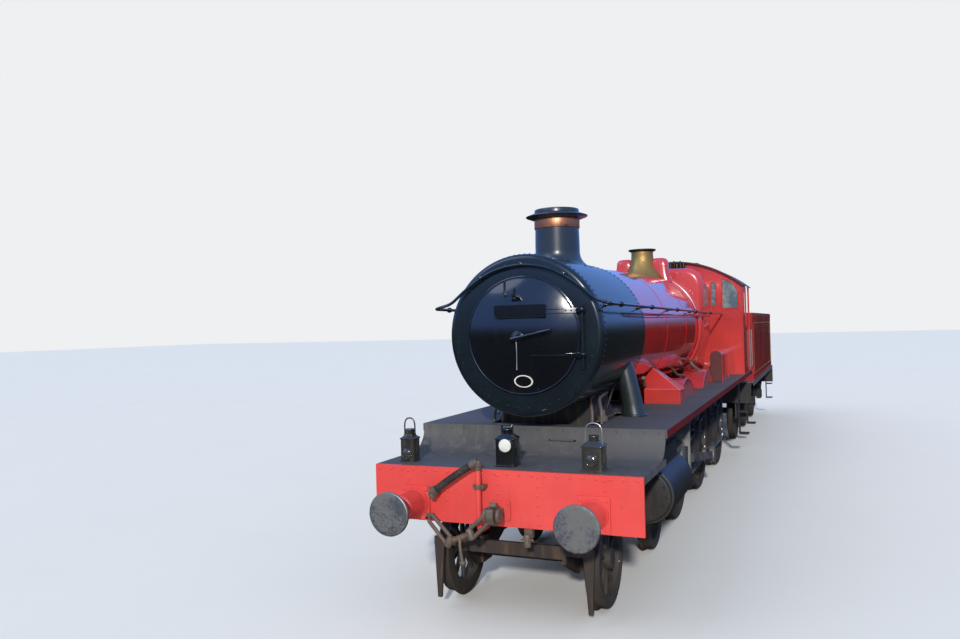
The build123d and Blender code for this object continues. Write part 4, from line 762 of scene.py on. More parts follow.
def door_plates():
    """A blank number plate with a raised edge, and a blank oval plate with a white edge."""
    x0, x1, z0, z1 = -0.256, 0.272, 0.172, 0.302
    front = DOOR_APEX - 0.018
    plate = Piece("number_plate_blank")
    corner = rounded(x0, x1, BOILER_Z + z0, BOILER_Z + z1, 0.012)
    middle = corner.mean(0)
    plate.plate(corner, front + 0.004, DOOR_APEX + 0.035, "y")
    edges = []
    for share, d in ((1.0, front + 0.006), (1.0, front), (0.965, front), (0.965, front + 0.006)):
        scaled = middle + (corner - middle) * [share, 1 - (1 - share) * 3.4]
        edges.append(spot(scaled[:, 0], d, scaled[:, 1]))
    plate.grid(np.stack(edges), loop=True)
    plate.done("door", DOOR_BLACK, "black_paint", ["door_plates"], bevel=0.001)
    t = circle(48)
    for name, finish, rows in (
            ("oval_plate_blank", DOOR_BLACK, ((1.0, 0.0), (1.0, 0.009), (0.0, 0.009))),
            ("oval_plate_edge", WHITE, ((1.03, 0.002), (1.03, 0.012), (0.88, 0.012), (0.88, 0.002)))):
        ring = [on_door(0.012 + 0.095 * w * np.cos(t), -0.453 + 0.06 * w * np.sin(t), lift)
                for w, lift in rows]
        oval = Piece(name).grid(np.stack(ring), loop=name.endswith("edge"), caps=False)
        oval.done("door", finish, "black_paint")


def saddle_rows(profile, centre_d, over_radius, sink=0.0):
    """Rows turned round an upright axis whose foot lies on a lying drum: where the share is 0 the
    height is that of the drum, z = centre + sqrt(R^2 - x^2), and where it is 1 it is the profile's."""
    t = circle(96)
    radius, height, share = (np.asarray(profile, float)[:, k:k + 1] for k in range(3))
    x, y = radius * np.cos(t), radius * np.sin(t)
    drum = BOILER_Z + np.sqrt(np.maximum(over_radius ** 2 - x ** 2, 0)) - sink
    z = drum * (1 - share) + height * share
    return spot(x, centre_d + y, z)


def chimney():
    """The chimney: a flare that lies on the smokebox, a plain body, and a lip of two cones."""
    d, body, top = 1.89, 0.25, where("chimney")[1][2]
    low, high = where("chimney_band")[0][2], where("chimney_band")[1][2]
    s = np.linspace(0, 1, 14)
    flare = spot(0.395 - 0.145 * np.sin(s * pi / 2) ** 0.85, 3.36 + 0.18 * s ** 1.25, s ** 0.55)
    flare[0, 2] = 0
    lip, neck = high + 0.033, high + 0.073
    rest = [(body, 3.62, 1), (body - 0.004, low, 1), (body - 0.004, high + 0.0005, 1),
            (body + 0.012, high + 0.001, 1), (0.338, lip - 0.005, 1), (0.347, lip, 1),
            (0.349, lip + 0.004, 1), (0.347, lip + 0.008, 1), (0.338, lip + 0.012, 1),
            (body + 0.014, neck - 0.001, 1), (body + 0.002, neck + 0.001, 1), (body, top - 0.01, 1),
            (body - 0.003, top - 0.003, 1), (body - 0.01, top, 1), (0.21, top, 1), (0.201, top - 0.009, 1),
            (0.2, 3.5, 1), (0.0, 3.5, 1)]
    rows = np.vstack([[(0.4, 3.3, 0)], flare, rest])
    piece = Piece("chimney_casting").grid(saddle_rows(rows, d, SMOKE_R, 0.004), caps=False)
    t = np.radians([20, 160, 200, 340, 60, 120, 240, 300])
    x, y = 0.375 * np.cos(t), 0.375 * np.sin(t)
    z = BOILER_Z + np.sqrt(SMOKE_R ** 2 - x ** 2) + 0.006
    piece.studs(spot(x, d + y, z), spot(x, 0, z - BOILER_Z), 0.014)
    piece.done("engine", CHIMNEY_BLACK, "black_paint", ["chimney", "chimney_foot"], angle=35)
    band = soften([(low, body - 0.003), (low, body + 0.005), (high, body + 0.005), (high, body - 0.003)],
                  0.002, 3, True)
    Piece("chimney_copper").turned(band, (0, d), "z", 96, loop=True).done(
        "engine", COPPER, "copper", ["chimney_band"])


def barrel_radius(d):
    """The barrel's outside radius at d, a straight taper and then parallel."""
    return np.interp(d, [SMOKE_REAR, CONE_END], [BARREL_FRONT_R, BARREL_R])


BAND_D = (2.68, 4.05, 5.42, 6.3, 6.86)


def barrel():
    """The tapered barrel with a raised band round each joint of its cladding."""
    steps = np.ravel(np.array(BAND_D)[:, None] + [-0.028, -0.026, 0.026, 0.028])
    d = np.concatenate([[SMOKE_REAR], steps, [FIREBOX_FRONT]])
    lift = np.concatenate([[0], np.tile([0, 0.0035, 0.0035, 0], len(BAND_D)), [0]])
    order = np.argsort(d)
    rows = pairs(d[order], barrel_radius(d[order]) + lift[order] - 0.0005)
    rows = np.vstack([[(SMOKE_REAR, 0)], rows, [(FIREBOX_FRONT, 0)]])
    piece = Piece("barrel_cladding").turned(rows, (0, BOILER_Z), "y", 128)
    piece.done("engine", BARREL_RED, "red_paint", ["boiler_barrel"], angle=25)
    clips = Piece("cladding_clips")
    for b in BAND_D[1:4]:
        r = float(barrel_radius(b)) + 0.004
        for angle in (-60, -120):
            x, z = r * cos(radians(angle)), r * sin(radians(angle))
            clips.box(x - 0.02, x + 0.02, b - 0.012, b + 0.012, BOILER_Z + z - 0.015, BOILER_Z + z + 0.02)
    clips.done("engine", CRIMSON, "red_paint", bevel=0.003)


CAB_FRONT = where("cab_front")[0][1]
FIRE_NOSE = 0.11
# Firebox measures at its nose and at the cab: top, half width, shoulder
FIRE_ENDS = np.array([(3.61, 0.893, 0.26), (3.49, 0.7, 0.23)])


def fire_measures(d):
    """The firebox's top, half width and shoulder at d, straight from its front to the cab."""
    share = (d - FIREBOX_FRONT) / (CAB_FRONT - FIREBOX_FRONT)
    return FIRE_ENDS[0] + share * (FIRE_ENDS[1] - FIRE_ENDS[0])


def firebox_outline(d, inset, count=10):
    """The firebox's section at d: a flat top, round shoulders and sides drawn in under the waist."""
    share = np.clip((d - FIREBOX_FRONT - 0.07) / (CAB_FRONT - FIREBOX_FRONT - 0.07), 0, 1)
    top, half, shoulder = FIRE_ENDS[0] + share * (FIRE_ENDS[1] - FIRE_ENDS[0])
    top, half = top - inset, half - inset
    shoulder = max(shoulder - inset * 0.3, 0.05)
    t = np.linspace(pi / 2, 0, count)
    x = np.concatenate([[0], half - shoulder + shoulder * np.cos(t), [half, half - 0.012, 0.56, 0.56, 0.0]])
    crown = 0.012
    z = np.concatenate([[top + crown], top - shoulder + shoulder * np.sin(t), [2.75, 2.45, 1.96, 1.26, 1.26]])
    right = pairs(x, z)
    left = right[1:-1][::-1] * [-1, 1]
    return np.vstack([right, left])


def firebox():
    """The square-shouldered firebox: its nose rounds in as r - sqrt(r^2 - (r - s)^2) behind the face."""
    s = np.concatenate([FIRE_NOSE * (1 - np.cos(np.linspace(0, pi / 2, 9))), [0.3, 0.9, 1.5, 2.0]])
    d = np.concatenate([FIREBOX_FRONT + s, [CAB_FRONT]])
    round_in = FIRE_NOSE - np.sqrt(np.maximum(FIRE_NOSE ** 2 - (FIRE_NOSE - s) ** 2, 0))
    inset = np.where(s < FIRE_NOSE, round_in, 0)
    inset = np.concatenate([inset, [0]]) * 0.8
    rings = []
    for station, cut in zip(d, inset):
        outline = firebox_outline(station, cut)
        rings.append(spot(outline[:, 0], station, outline[:, 1]))
    piece = Piece("firebox_cladding").grid(np.stack(rings))
    piece.done("engine", CRIMSON, "red_paint", ["firebox"], angle=28)
    plugs = Piece("firebox_fittings")
    plug = soften([(-0.02, 0), (-0.02, 0.04), (0.012, 0.04), (0.012, 0.022), (0.035, 0.022), (0.035, 0)],
                  0.004)
    slant = np.array([[0.707, 0, 0.707], [0, 1, 0], [-0.707, 0, 0.707]])
    for d0 in (7.35, 8.0, 8.65):
        top, half, _ = fire_measures(d0)
        corner = np.array([half - 0.075, 0, top - 0.075])
        plugs.grid(lathe(plug, (d0, 0), "x", 20) @ slant + corner, caps=False, both=True)
    for d0 in (7.6, 8.5):
        half = fire_measures(d0)[1]
        lid = [(half - 0.01, 0), (half - 0.01, 0.07), (half + 0.012, 0.07), (half + 0.016, 0.03),
               (half + 0.03, 0.025), (half + 0.03, 0)]
        plugs.turned(soften(lid, 0.004), (d0, 2.62), "x", 24, both=True)
    plugs.done("engine", CRIMSON, "red_paint", angle=35)


BONNET_D = 6.485


def bonnet():
    """The safety valve bonnet: a skirt that flares on to the barrel, a neck and a hollow lip in brass
    darkened with painted shade.

    The flare is the parabola through three points (height, radius)."""
    d, top = BONNET_D, where("safety_valve_bonnet")[1][2]
    z = np.linspace(3.38, 3.73, 14)
    a, b, c = (3.38, 0.434), (3.53, 0.29), (3.73, 0.194)
    flare = (a[1] * (z - b[0]) * (z - c[0]) / ((a[0] - b[0]) * (a[0] - c[0]))
             + b[1] * (z - a[0]) * (z - c[0]) / ((b[0] - a[0]) * (b[0] - c[0]))
             + c[1] * (z - a[0]) * (z - b[0]) / ((c[0] - a[0]) * (c[0] - b[0])))
    neck = [(3.765, 0.184), (3.8, 0.179), (top - 0.041, 0.176), (top - 0.041, 0.16)]
    rows = np.vstack([[(3.36, 0.43)], pairs(z, flare), neck])
    Piece("bonnet_brass").turned(rows, (0, d), "z", 96).done(
        "engine", BRASS, "brass", ["safety_valve_bonnet"], angle=35)
    lip = soften([(top - 0.042, 0.15), (top - 0.042, 0.178), (top - 0.03, 0.205), (top - 0.02, 0.2235),
                  (top, 0.2235), (top, 0.152), (top - 0.12, 0.15), (top - 0.12, 0.0)], 0.003)
    piece = Piece("bonnet_lip").turned(lip, (0, d), "z", 72)
    for dx in (-0.07, 0.07):
        valve = soften([(3.79, 0.05), (3.87, 0.05), (3.88, 0.02), (3.88, 0)], 0.01)
        piece.turned(valve, (dx, d), "z", 20)
    piece.done("engine", SHADED_BRASS, "brass", angle=35)


def top_feed():
    """Clack covers each side of the bonnet, and the feed pipe covers that run down round the barrel."""
    d = BONNET_D
    angle = np.radians(np.linspace(66, -36, 40))[:, None]
    section = np.linspace(0, pi, 12)
    out = BARREL_R + 0.003 + 0.048 * np.sin(section) ** 0.6
    side = 0.058 * np.cos(section)
    rows = spot(np.cos(angle) * out, d + side, BOILER_Z + np.sin(angle) * out)
    piece = Piece("top_feed_covers").grid(rows, both=True)
    t = circle(28)
    c, s = np.cos(t), np.sin(t)
    rings = []
    for z, half_x, half_d, x in ((3.36, 0.17, 0.135, 0.325), (3.5, 0.15, 0.115, 0.296),
                                 (3.64, 0.138, 0.105, 0.288), (3.715, 0.13, 0.099, 0.286),
                                 (3.75, 0.106, 0.079, 0.284), (3.765, 0.06, 0.04, 0.28)):
        rings.append(spot(x + half_x * np.sign(c) * np.abs(c) ** 0.6,
                          d + half_d * np.sign(s) * np.abs(s) ** 0.6, z))
    piece.grid(np.stack(rings), both=True)
    piece.done("engine", CRIMSON, "red_paint", ["top_feed"], angle=40)


PLATE_TOP = 1.666


def steam_pipes():
    """Outside steam pipes: a casing on a foot ring that leans in and narrows up to the smokebox."""
    x, d = 0.76, 2.18
    path = soften([(x, d, 1.67), (x - 0.03, d, 1.86), (x - 0.095, d, 2.2), (x - 0.16, d, 2.4)], 0.12, 8)
    radius = np.interp(path[:, 2], [1.67, 1.7, 1.78, 2.05, 2.3, 2.4],
                       [0.134, 0.126, 0.118, 0.11, 0.098, 0.08])
    piece = Piece("steam_pipe_casings").pipe(path, radius, 28, both=True)
    foot = soften([(PLATE_TOP, 0), (PLATE_TOP, 0.15), (1.682, 0.15), (1.692, 0.135), (1.692, 0)], 0.006)
    piece.turned(foot, (x, d), "z", 32, both=True)
    stay = [(0.47, 2.06, 1.74), (0.56, 2.09, 2.02), (0.62, 2.1, 2.13)]
    piece.pipe(soften(stay, 0.05, 4), 0.014, 10, both=True)
    piece.done("engine", PIPE_BLACK, "black_paint", ["steam_pipes"], angle=40)


# Running gear

def wheel(piece, side, d, radius, spokes, hub, width, thick):
    """One spoked wheel: a turned tyre with its flange, a rim, oval spokes and a boss."""
    tyre, inside, outside = 0.07, 0.681, 0.821
    rim_in = radius - tyre - 0.04
    rows = [(inside, rim_in), (inside + 0.035, rim_in - 0.004), (outside - 0.045, rim_in - 0.004),
            (outside - 0.012, rim_in + 0.004), (outside - 0.008, radius - tyre),
            (outside - 0.001, radius - tyre + 0.003), (outside, radius - 0.012),
            (outside - 0.008, radius - 0.002), (inside + 0.04, radius), (inside + 0.032, radius + 0.006),
            (inside + 0.026, radius + 0.025), (inside + 0.016, radius + 0.029),
            (inside + 0.006, radius + 0.022), (inside, radius + 0.008)]
    piece.turned(rows, (d, radius), "x", 96, side=side, loop=True)
    middle = (inside + outside) / 2
    boss = soften([(inside + 0.004, 0), (inside + 0.004, hub), (outside + 0.008, hub - 0.012),
                   (outside + 0.008, 0.0)], 0.01)
    piece.turned(boss, (d, radius), "x", 48, side=side)
    t = circle(12)
    along = np.linspace(0, 1, 7)
    reach = hub - 0.015 + along * (rim_in + 0.012 - hub + 0.015)
    root, tip = 1 - np.minimum(along / 0.22, 1), np.maximum(along - 0.85, 0)
    wide = width / 2 * (1 + 0.55 * root ** 2 + 0.7 * tip / 0.15)
    deep = thick / 2 * (1.1 - 0.25 * along)
    for k in range(spokes):
        a = 2 * pi * (k + 0.5) / spokes
        u, v = np.array([0, cos(a), sin(a)]), np.array([0, -sin(a), cos(a)])
        ring = (np.array([middle, d, radius]) + reach[:, None, None] * u
                + (wide[:, None] * np.sin(t))[..., None] * v
                + (deep[:, None] * np.cos(t))[..., None] * [1, 0, 0])
        piece.grid(ring * [side, 1, 1], caps=False)


CRANK = 0.381
CRANK_SIDES = {"left": (1, 0.0, -CRANK), "right": (-1, -CRANK, 0.0)}
DRIVERS = {"leading": 4.522, "main": 6.656, "trailing": 9.018}
DRIVER_R = 0.9145


def driving_wheels():
    """The coupled wheels, with crank bosses, pins and crescent balance weights opposite the cranks."""
    for name, d in DRIVERS.items():
        piece = Piece(f"{name}_drivers")
        main = name == "main"
        for side, step_d, step_z in CRANK_SIDES.values():
            wheel(piece, side, d, DRIVER_R, 20, 0.18, 0.05, 0.062)
            out = np.array([step_d, step_z]) / CRANK
            cross = np.array([-out[1], out[0]])
            t = np.linspace(-pi / 2, pi / 2, 12)
            near = pairs(-np.cos(t) * 0.17, np.sin(t) * 0.17)[::-1]
            far = pairs(CRANK + np.cos(t) * 0.108, np.sin(t) * 0.108)
            web = np.vstack([near, far])
            web = web[:, :1] * out + web[:, 1:] * cross + [d, DRIVER_R]
            piece.plate(web, 0.705, 0.833, "x", side=side)
            end = 0.99 if main else 0.945
            pin = soften([(0.82, 0), (0.82, 0.06), (0.86, 0.06), (0.86, 0.0449), (0.935, 0.0449),
                          (0.935, 0.06), (0.945, 0.06), (0.946, 0.044), (end, 0.044), (end, 0)], 0.002, 3)
            piece.turned(pin, (d + step_d, DRIVER_R + step_z), "x", 28, side=side)
            rim, chord = DRIVER_R - 0.105, (0.56 if main else 0.64)
            half = np.arccos(chord / rim)
            t = np.linspace(-half, half, 26)
            outer = -pairs(np.cos(t) * rim, np.sin(t) * rim)
            chord_line = -pairs(chord, np.linspace(rim * sin(half), -rim * sin(half), 14))
            crescent = np.vstack([outer, chord_line[1:-1]])
            crescent = crescent[:, :1] * out + crescent[:, 1:] * cross + [d, DRIVER_R]
            piece.plate(crescent, 0.712, 0.808, "x", side=side)
        axle = [(-0.83, 0), (-0.83, 0.1), (-0.7, 0.1), (-0.68, 0.108), (0.68, 0.108), (0.7, 0.1), (0.83, 0.1),
                (0.83, 0)]
        piece.turned(axle, (d, DRIVER_R), "x", 32)
        piece.done(f"drivers_{name}", FRAME_BLACK, "frame_black", [f"driving_wheels_{name}"], bevel=0.003)


TENDER_AXLES = (12.46, 14.746, 17.032)


def small_wheels():
    """Bogie and tender wheelsets, each a body of its own."""
    bogie = (0.457, 10, 0.11, 0.042, 0.05, 0.075, 0.83)
    tender_set = (0.6285, 14, 0.125, 0.044, 0.054, 0.07, 0.99)
    rows = [("bogie_wheels_front", 0.762, *bogie), ("bogie_wheels_rear", 2.896, *bogie)]
    rows += [(f"tender_wheels_{number}", d, *tender_set) for number, d in enumerate(TENDER_AXLES, 1)]
    for node, d, radius, spokes, hub, width, thick, axle, half in rows:
        piece = Piece(f"{node}_spoked")
        for side in (1, -1):
            wheel(piece, side, d, radius, spokes, hub, width, thick)
        ends = [(-half, 0), (-half, axle * 0.9), (-0.69, axle * 0.9), (-0.68, axle), (0.68, axle),
                (0.69, axle * 0.9), (half, axle * 0.9), (half, 0)]
        piece.turned(ends, (d, radius), "x", 28)
        piece.done(node, FRAME_BLACK, "frame_black", [node])


def coupling_rods():
    """Fluted coupling rods: a thin web between two flanges, a turned boss and an oil cup at each pin."""
    for key, (side, step_d, step_z) in CRANK_SIDES.items():
        piece = Piece(f"coupling_rod_{key}_fluted")
        places = [d + step_d for d in DRIVERS.values()]
        z = DRIVER_R + step_z
        for a, b in zip(places, places[1:]):
            piece.box(0.884, 0.911, a + 0.06, b - 0.06, z - 0.04, z + 0.04, side=side)
            for s in (-1, 1):
                piece.box(0.873, 0.922, a + 0.07, b - 0.07, z + s * 0.047 - 0.009, z + s * 0.047 + 0.009,
                          side=side)
        for i, d in enumerate(places):
            r = 0.12 if i == 1 else 0.098
            rows = soften([(0.866, 0.046), (0.866, r - 0.004), (0.87, r), (0.925, r), (0.929, r - 0.004),
                           (0.929, 0.046)], 0.004, 3)
            piece.turned(rows, (d, z), "x", 40, side=side, loop=True)
            cup = soften([(z + r - 0.008, 0), (z + r - 0.008, 0.03), (z + r + 0.028, 0.026),
                          (z + r + 0.028, 0)], 0.004)
            piece.turned(cup, (0.8975, d), "z", 16, side=side)
        piece.done(f"rod_{key}", ROD_STEEL, "bright_steel", [f"coupling_rod_{key}"], bevel=0.002)


def cylinders():
    """Cylinders: turned barrels with bolted covers, and the valve chests above them."""
    piece = Piece("cylinder_castings")
    x, z = 1.054, 0.978
    body = soften([(1.205, 0), (1.205, 0.12), (1.212, 0.25), (1.226, 0.262), (1.25, 0.264), (1.252, 0.288),
                   (1.3, 0.29), (2.36, 0.29), (2.408, 0.288), (2.41, 0.264), (2.45, 0.26), (2.455, 0.05)],
                  0.006)
    piece.grid(lathe(body, (x, z), "y", 72), both=True)
    chest = soften([(1.19, 0), (1.19, 0.13), (1.21, 0.148), (2.45, 0.148), (2.47, 0.13), (2.47, 0)], 0.01)
    piece.turned(chest, (1.01, 1.42), "y", 48, both=True)
    piece.box(0.632, 1.05, 1.38, 2.28, 1.04, 1.56, both=True)
    piece.box(0.954, 1.204, 1.38, 2.28, 1.17, 1.42, both=True)
    covers = ((0.222, 14, x, 1.212, z, 0.017), (0.108, 8, 1.01, 1.19, 1.42, 0.014))
    for radius, count, middle_x, d, middle_z, stud in covers:
        cx, cz = ring_points(radius, count)
        piece.studs(spot(middle_x + cx, d, middle_z + cz), [0, -1, 0], stud, both=True)
    piece.done("engine", FRAME_BLACK, "black_paint", ["cylinders"], bevel=0.003)


# Front end

BUFFER_X, BUFFER_Z, BUFFER_REACH = 0.87, 1.054, 0.54
REAR_BEAM = where("tender_buffers")[1][1] - BUFFER_REACH


def to_rear(points):
    """Points of the front beam turned round to the tender's rear beam."""
    return np.array([0, REAR_BEAM, 0]) + np.asarray(points) * [-1, -1, 1]


def buffers(rear):
    """Buffer stocks with bolted square flanges, and worn flat heads on bright shanks."""
    turn, end = (to_rear, "rear") if rear else (np.asarray, "front")
    stock, head = Piece(f"stocks_{end}"), Piece(f"heads_{end}")
    flange = rounded(BUFFER_X - 0.149, BUFFER_X + 0.149, BUFFER_Z - 0.16, BUFFER_Z + 0.16, 0.02)
    rows = soften([(-0.02, 0), (-0.02, 0.14), (-0.034, 0.138), (-0.06, 0.122), (-0.28, 0.117),
                   (-0.286, 0.12), (-0.318, 0.12), (-0.33, 0.106), (-0.33, 0.07), (-0.33, 0)], 0.005)
    face = soften([(-0.32, 0), (-0.32, 0.058), (-0.47, 0.058), (-0.492, 0.085), (-0.508, 0.19),
                   (-0.516, 0.1985), (-0.532, 0.1995), (-0.5395, 0.19), (-BUFFER_REACH, 0.15),
                   (-BUFFER_REACH, 0)], 0.004)
    stock.grid(turn(slab(flange, -0.025, 0, "y")), both=True)
    stock.grid(turn(lathe(rows, (BUFFER_X, BUFFER_Z), "y", 56)), caps=False, both=True)
    corner = np.array([(sx, -0.025, sz) for sx in (-0.115, 0.115) for sz in (-0.125, 0.125)])
    stock.studs(turn(corner + [BUFFER_X, 0, BUFFER_Z]), [0, 1 if rear else -1, 0], 0.019, both=True)
    head.grid(turn(lathe(face, (BUFFER_X, BUFFER_Z), "y", 72)), caps=False, both=True)
    body = "tender" if rear else "engine"
    stock.done(body, BEAM_RED, "red_paint", ["tender_buffers"] if rear else ["buffer_stocks"], bevel=0.003)
    head.done(body, BUFFER_STEEL, "bright_steel", [] if rear else ["buffer_heads"], angle=40)


def link(piece, turn, corners, radius, bend):
    """A round bar bent at each of its corners."""
    piece.pipe(turn(soften(corners, bend, 8)), radius, 12)


def bar(piece, turn, start, end, share, radius, sides=18):
    """A round bar between two points, its radius given at shares of its length."""
    start, end = np.array(start), np.array(end)
    share = np.asarray(share, float)
    piece.pipe(turn(start + share[:, None] * (end - start)), radius, sides)


def coupling(rear):
    """The draw hook, its plate and the screw coupling, in front slung aside and at the rear hanging.

    The screw's radius is 0.0255 + 0.0035 sin(40 pi share), twenty waves over its length."""
    turn, end, body = (to_rear, "rear", "tender") if rear else (np.asarray, "front", "engine")
    piece = Piece(f"coupling_{end}")
    plate = rounded(-0.095, 0.095, 0.94, 1.12, 0.015)
    face = Piece(f"hook_plate_{end}").grid(turn(slab(plate, -0.02, 0, "y")))
    hook = soften([(-0.02, 0.985), (-0.02, 1.06), (-0.12, 1.065), (-0.14, 1.118), (-0.192, 1.148),
                   (-0.226, 1.112), (-0.192, 1.086), (-0.178, 1.056), (-0.196, 1.03), (-0.238, 1.042),
                   (-0.258, 1.1), (-0.284, 1.092), (-0.288, 1.02), (-0.252, 0.958), (-0.19, 0.93),
                   (-0.12, 0.956)], 0.016, 5, True)
    piece.grid(turn(slab(hook, -0.034, 0.034, "x")))
    bolts = [(x, -0.02, z) for z in (0.962, 1.098) for x in (-0.072, 0.072)]
    face.studs(turn(bolts), [0, 1 if rear else -1, 0], 0.015)
    face.done(body, BEAM_RED, "red_paint", bevel=0.002)
    eye = np.array([(-0.015, 0.02), (-0.015, 0.06), (-0.01, 0.066), (0.01, 0.066), (0.015, 0.06),
                    (0.015, 0.036), (0.008, 0.032), (0.015, 0.028), (0.015, 0.02)])
    for x in (-0.062, 0.062):
        piece.grid(turn(lathe(eye + [x, 0], (-0.205, 1.03), "x", 28)), caps=False)
    bar(piece, turn, (-0.076, -0.205, 1.03), (0.076, -0.205, 1.03), (0, 1), 0.02)
    share = np.linspace(0, 1, 66)
    thread = 0.0255 + 0.0035 * np.sin(share * 20 * 2 * pi)
    nut_share, nut = (0, 0.04, 0.2, 0.8, 0.96, 1), [0.026, 0.032, 0.036, 0.036, 0.032, 0.026]
    ball = np.linspace(0, pi, 9)
    if rear:
        for x, top, low, radius, bend in ((0.062, (-0.205, 1.03), (-0.225, 0.76), 0.0175, 0.05),
                                          (0.105, (-0.225, 0.76), (-0.24, 0.44), 0.0165, 0.07)):
            link(piece, turn, [(-x, *top), (-x, *low), (x, *low), (x, *top)], radius, bend)
        bar(piece, turn, (-0.13, -0.225, 0.76), (0.13, -0.225, 0.76), share, thread)
        for x in (-0.09, 0.09):
            bar(piece, turn, (x - 0.03, -0.225, 0.76), (x + 0.03, -0.225, 0.76), nut_share,
                np.array(nut) * 1.35)
        lever = [(0.0, -0.235, 0.76), (0.012, -0.25, 0.66), (0.03, -0.25, 0.56)]
        knob = (0.034, -0.25, 0.54)
    else:
        link(piece, turn, [(-0.236, -0.2, 0.884), (-0.015, -0.205, 1.085), (0.022, -0.205, 1.026),
                           (-0.206, -0.2, 0.804)], 0.019, 0.035)
        link(piece, turn, [(-0.417, -0.2, 0.802), (-0.655, -0.13, 0.99), (-0.688, -0.125, 0.925),
                           (-0.452, -0.2, 0.724)], 0.018, 0.035)
        bar(piece, turn, (-0.434, -0.2, 0.762), (-0.222, -0.2, 0.846), share, thread)
        for start, end in (((-0.24, -0.2, 0.894), (-0.202, -0.2, 0.796)),
                           ((-0.413, -0.2, 0.812), (-0.456, -0.2, 0.714))):
            bar(piece, turn, start, end, nut_share, nut)
        piece.box(-0.7, -0.676, -0.15, 0, 0.938, 0.958)
        piece.box(-0.7, -0.676, -0.15, -0.138, 0.938, 0.995)
        lever = [(-0.328, -0.205, 0.804), (-0.322, -0.218, 0.72), (-0.3, -0.222, 0.6)]
        knob = (-0.296, -0.222, 0.585)
    piece.pipe(turn(soften(lever, 0.04, 5)), 0.015, 12)
    drop = pairs(knob[2] - 0.03 * np.cos(ball), 0.03 * np.sin(ball))
    piece.grid(turn(lathe(drop, knob[:2], "z", 18)), caps=False)
    piece.done(body, COUPLING_IRON, "rusty_steel",
               ["tender_coupling" if rear else "front_coupling"], bevel=0.003)


def vacuum_pipe():
    """The red standpipe, its rusty clip, dark head and spigot, the hose's plug and the heating cock."""
    x, d, foot = -0.187, -0.08, 0.849
    path = soften([(x, 0.12, foot), (x, d, foot), (x, d, 1.45)], 0.07, 10)
    Piece("standpipe").pipe(path, 0.025, 20).done("engine", BEAM_RED, "red_paint")
    head = Piece("standpipe_head")
    head.turned(soften([(1.4, 0.024), (1.4, 0.031), (1.438, 0.031), (1.442, 0.04), (1.48, 0.04),
                        (1.492, 0.03), (1.492, 0)], 0.004), (x, d), "z", 28)
    head.box(x - 0.05, x + 0.06, d + 0.02, 0, 1.236, 1.264)
    ring = soften([(1.228, 0.024), (1.228, 0.034), (1.272, 0.034), (1.272, 0.024)], 0.004)
    head.turned(ring, (x, d), "z", 24)
    for s in (-1, 1):
        head.box(x + s * 0.041 - 0.012, x + s * 0.041 + 0.012, d - 0.008, d + 0.03, 1.232, 1.268)
    route = np.array(HOSE_ROUTE)
    for end, aim, far, radius in (
            (route[0], route[1] - route[0], [-0.08, -0.052, -0.051, -0.03, -0.029, -0.012, -0.011, 0.0],
             [0.035, 0.035, 0.04, 0.04, 0.037, 0.037, 0.04, 0.04]),
            (route[-1], route[-1] - route[-2], [0.0, 0.018, 0.019, 0.042, 0.043, 0.06],
             [0.04, 0.04, 0.046, 0.046, 0.04, 0.032])):
        head.pipe(end + aim / np.linalg.norm(aim) * np.array(far)[:, None], radius, 24)
    head.box(-0.68, -0.61, -0.13, 0, 1.152, 1.17)
    plug = soften([(1.12, 0), (1.12, 0.024), (1.138, 0.03), (1.166, 0.03), (1.175, 0.022), (1.175, 0)],
                  0.004)
    head.turned(plug, (-0.645, -0.11), "z", 24)
    t = circle(8)
    ring = spot(-0.662 + 0.024 * np.cos(t), -0.128, 1.205 + 0.03 * np.sin(t))
    head.pipe(np.vstack([ring, ring[:1]]), 0.005, 8)
    x = 0.27
    head.box(x - 0.038, x + 0.038, -0.035, 0.028, 0.806, 0.8835)
    outlet = soften([(0.735, 0.022), (0.735, 0.031), (0.76, 0.034), (0.835, 0.034), (0.85, 0.026),
                     (0.85, 0)], 0.004)
    head.turned(outlet, (x, -0.062), "z", 24)
    head.pipe([(x - 0.06, -0.062, 0.8), (x, -0.062, 0.8), (x + 0.06, -0.062, 0.8)], 0.009, 10)
    head.done("engine", COUPLING_IRON, "rusty_steel", ["vacuum_pipe"], bevel=0.0015)


def lamp_handle(x, d, top, half, bright):
    """A thick square handle low over the body, or a tall round bail of thin rod."""
    reach = half - 0.023
    if bright:
        x0, x1, low, peak, bend, rod = x - 0.052, x + 0.052, top + 0.02, top + 0.122, 0.012, 0.0095
    else:
        x0, x1, low, peak, bend, rod = x - reach, x + reach, top - 0.03, top + 0.195, 0.085, 0.0075
    bail = [(x0, d, low), (x0, d, peak), (x1, d, peak), (x1, d, low)]
    return tube(soften(bail, bend, 8), rod, 8)


LAMP_FOOT = 1.396


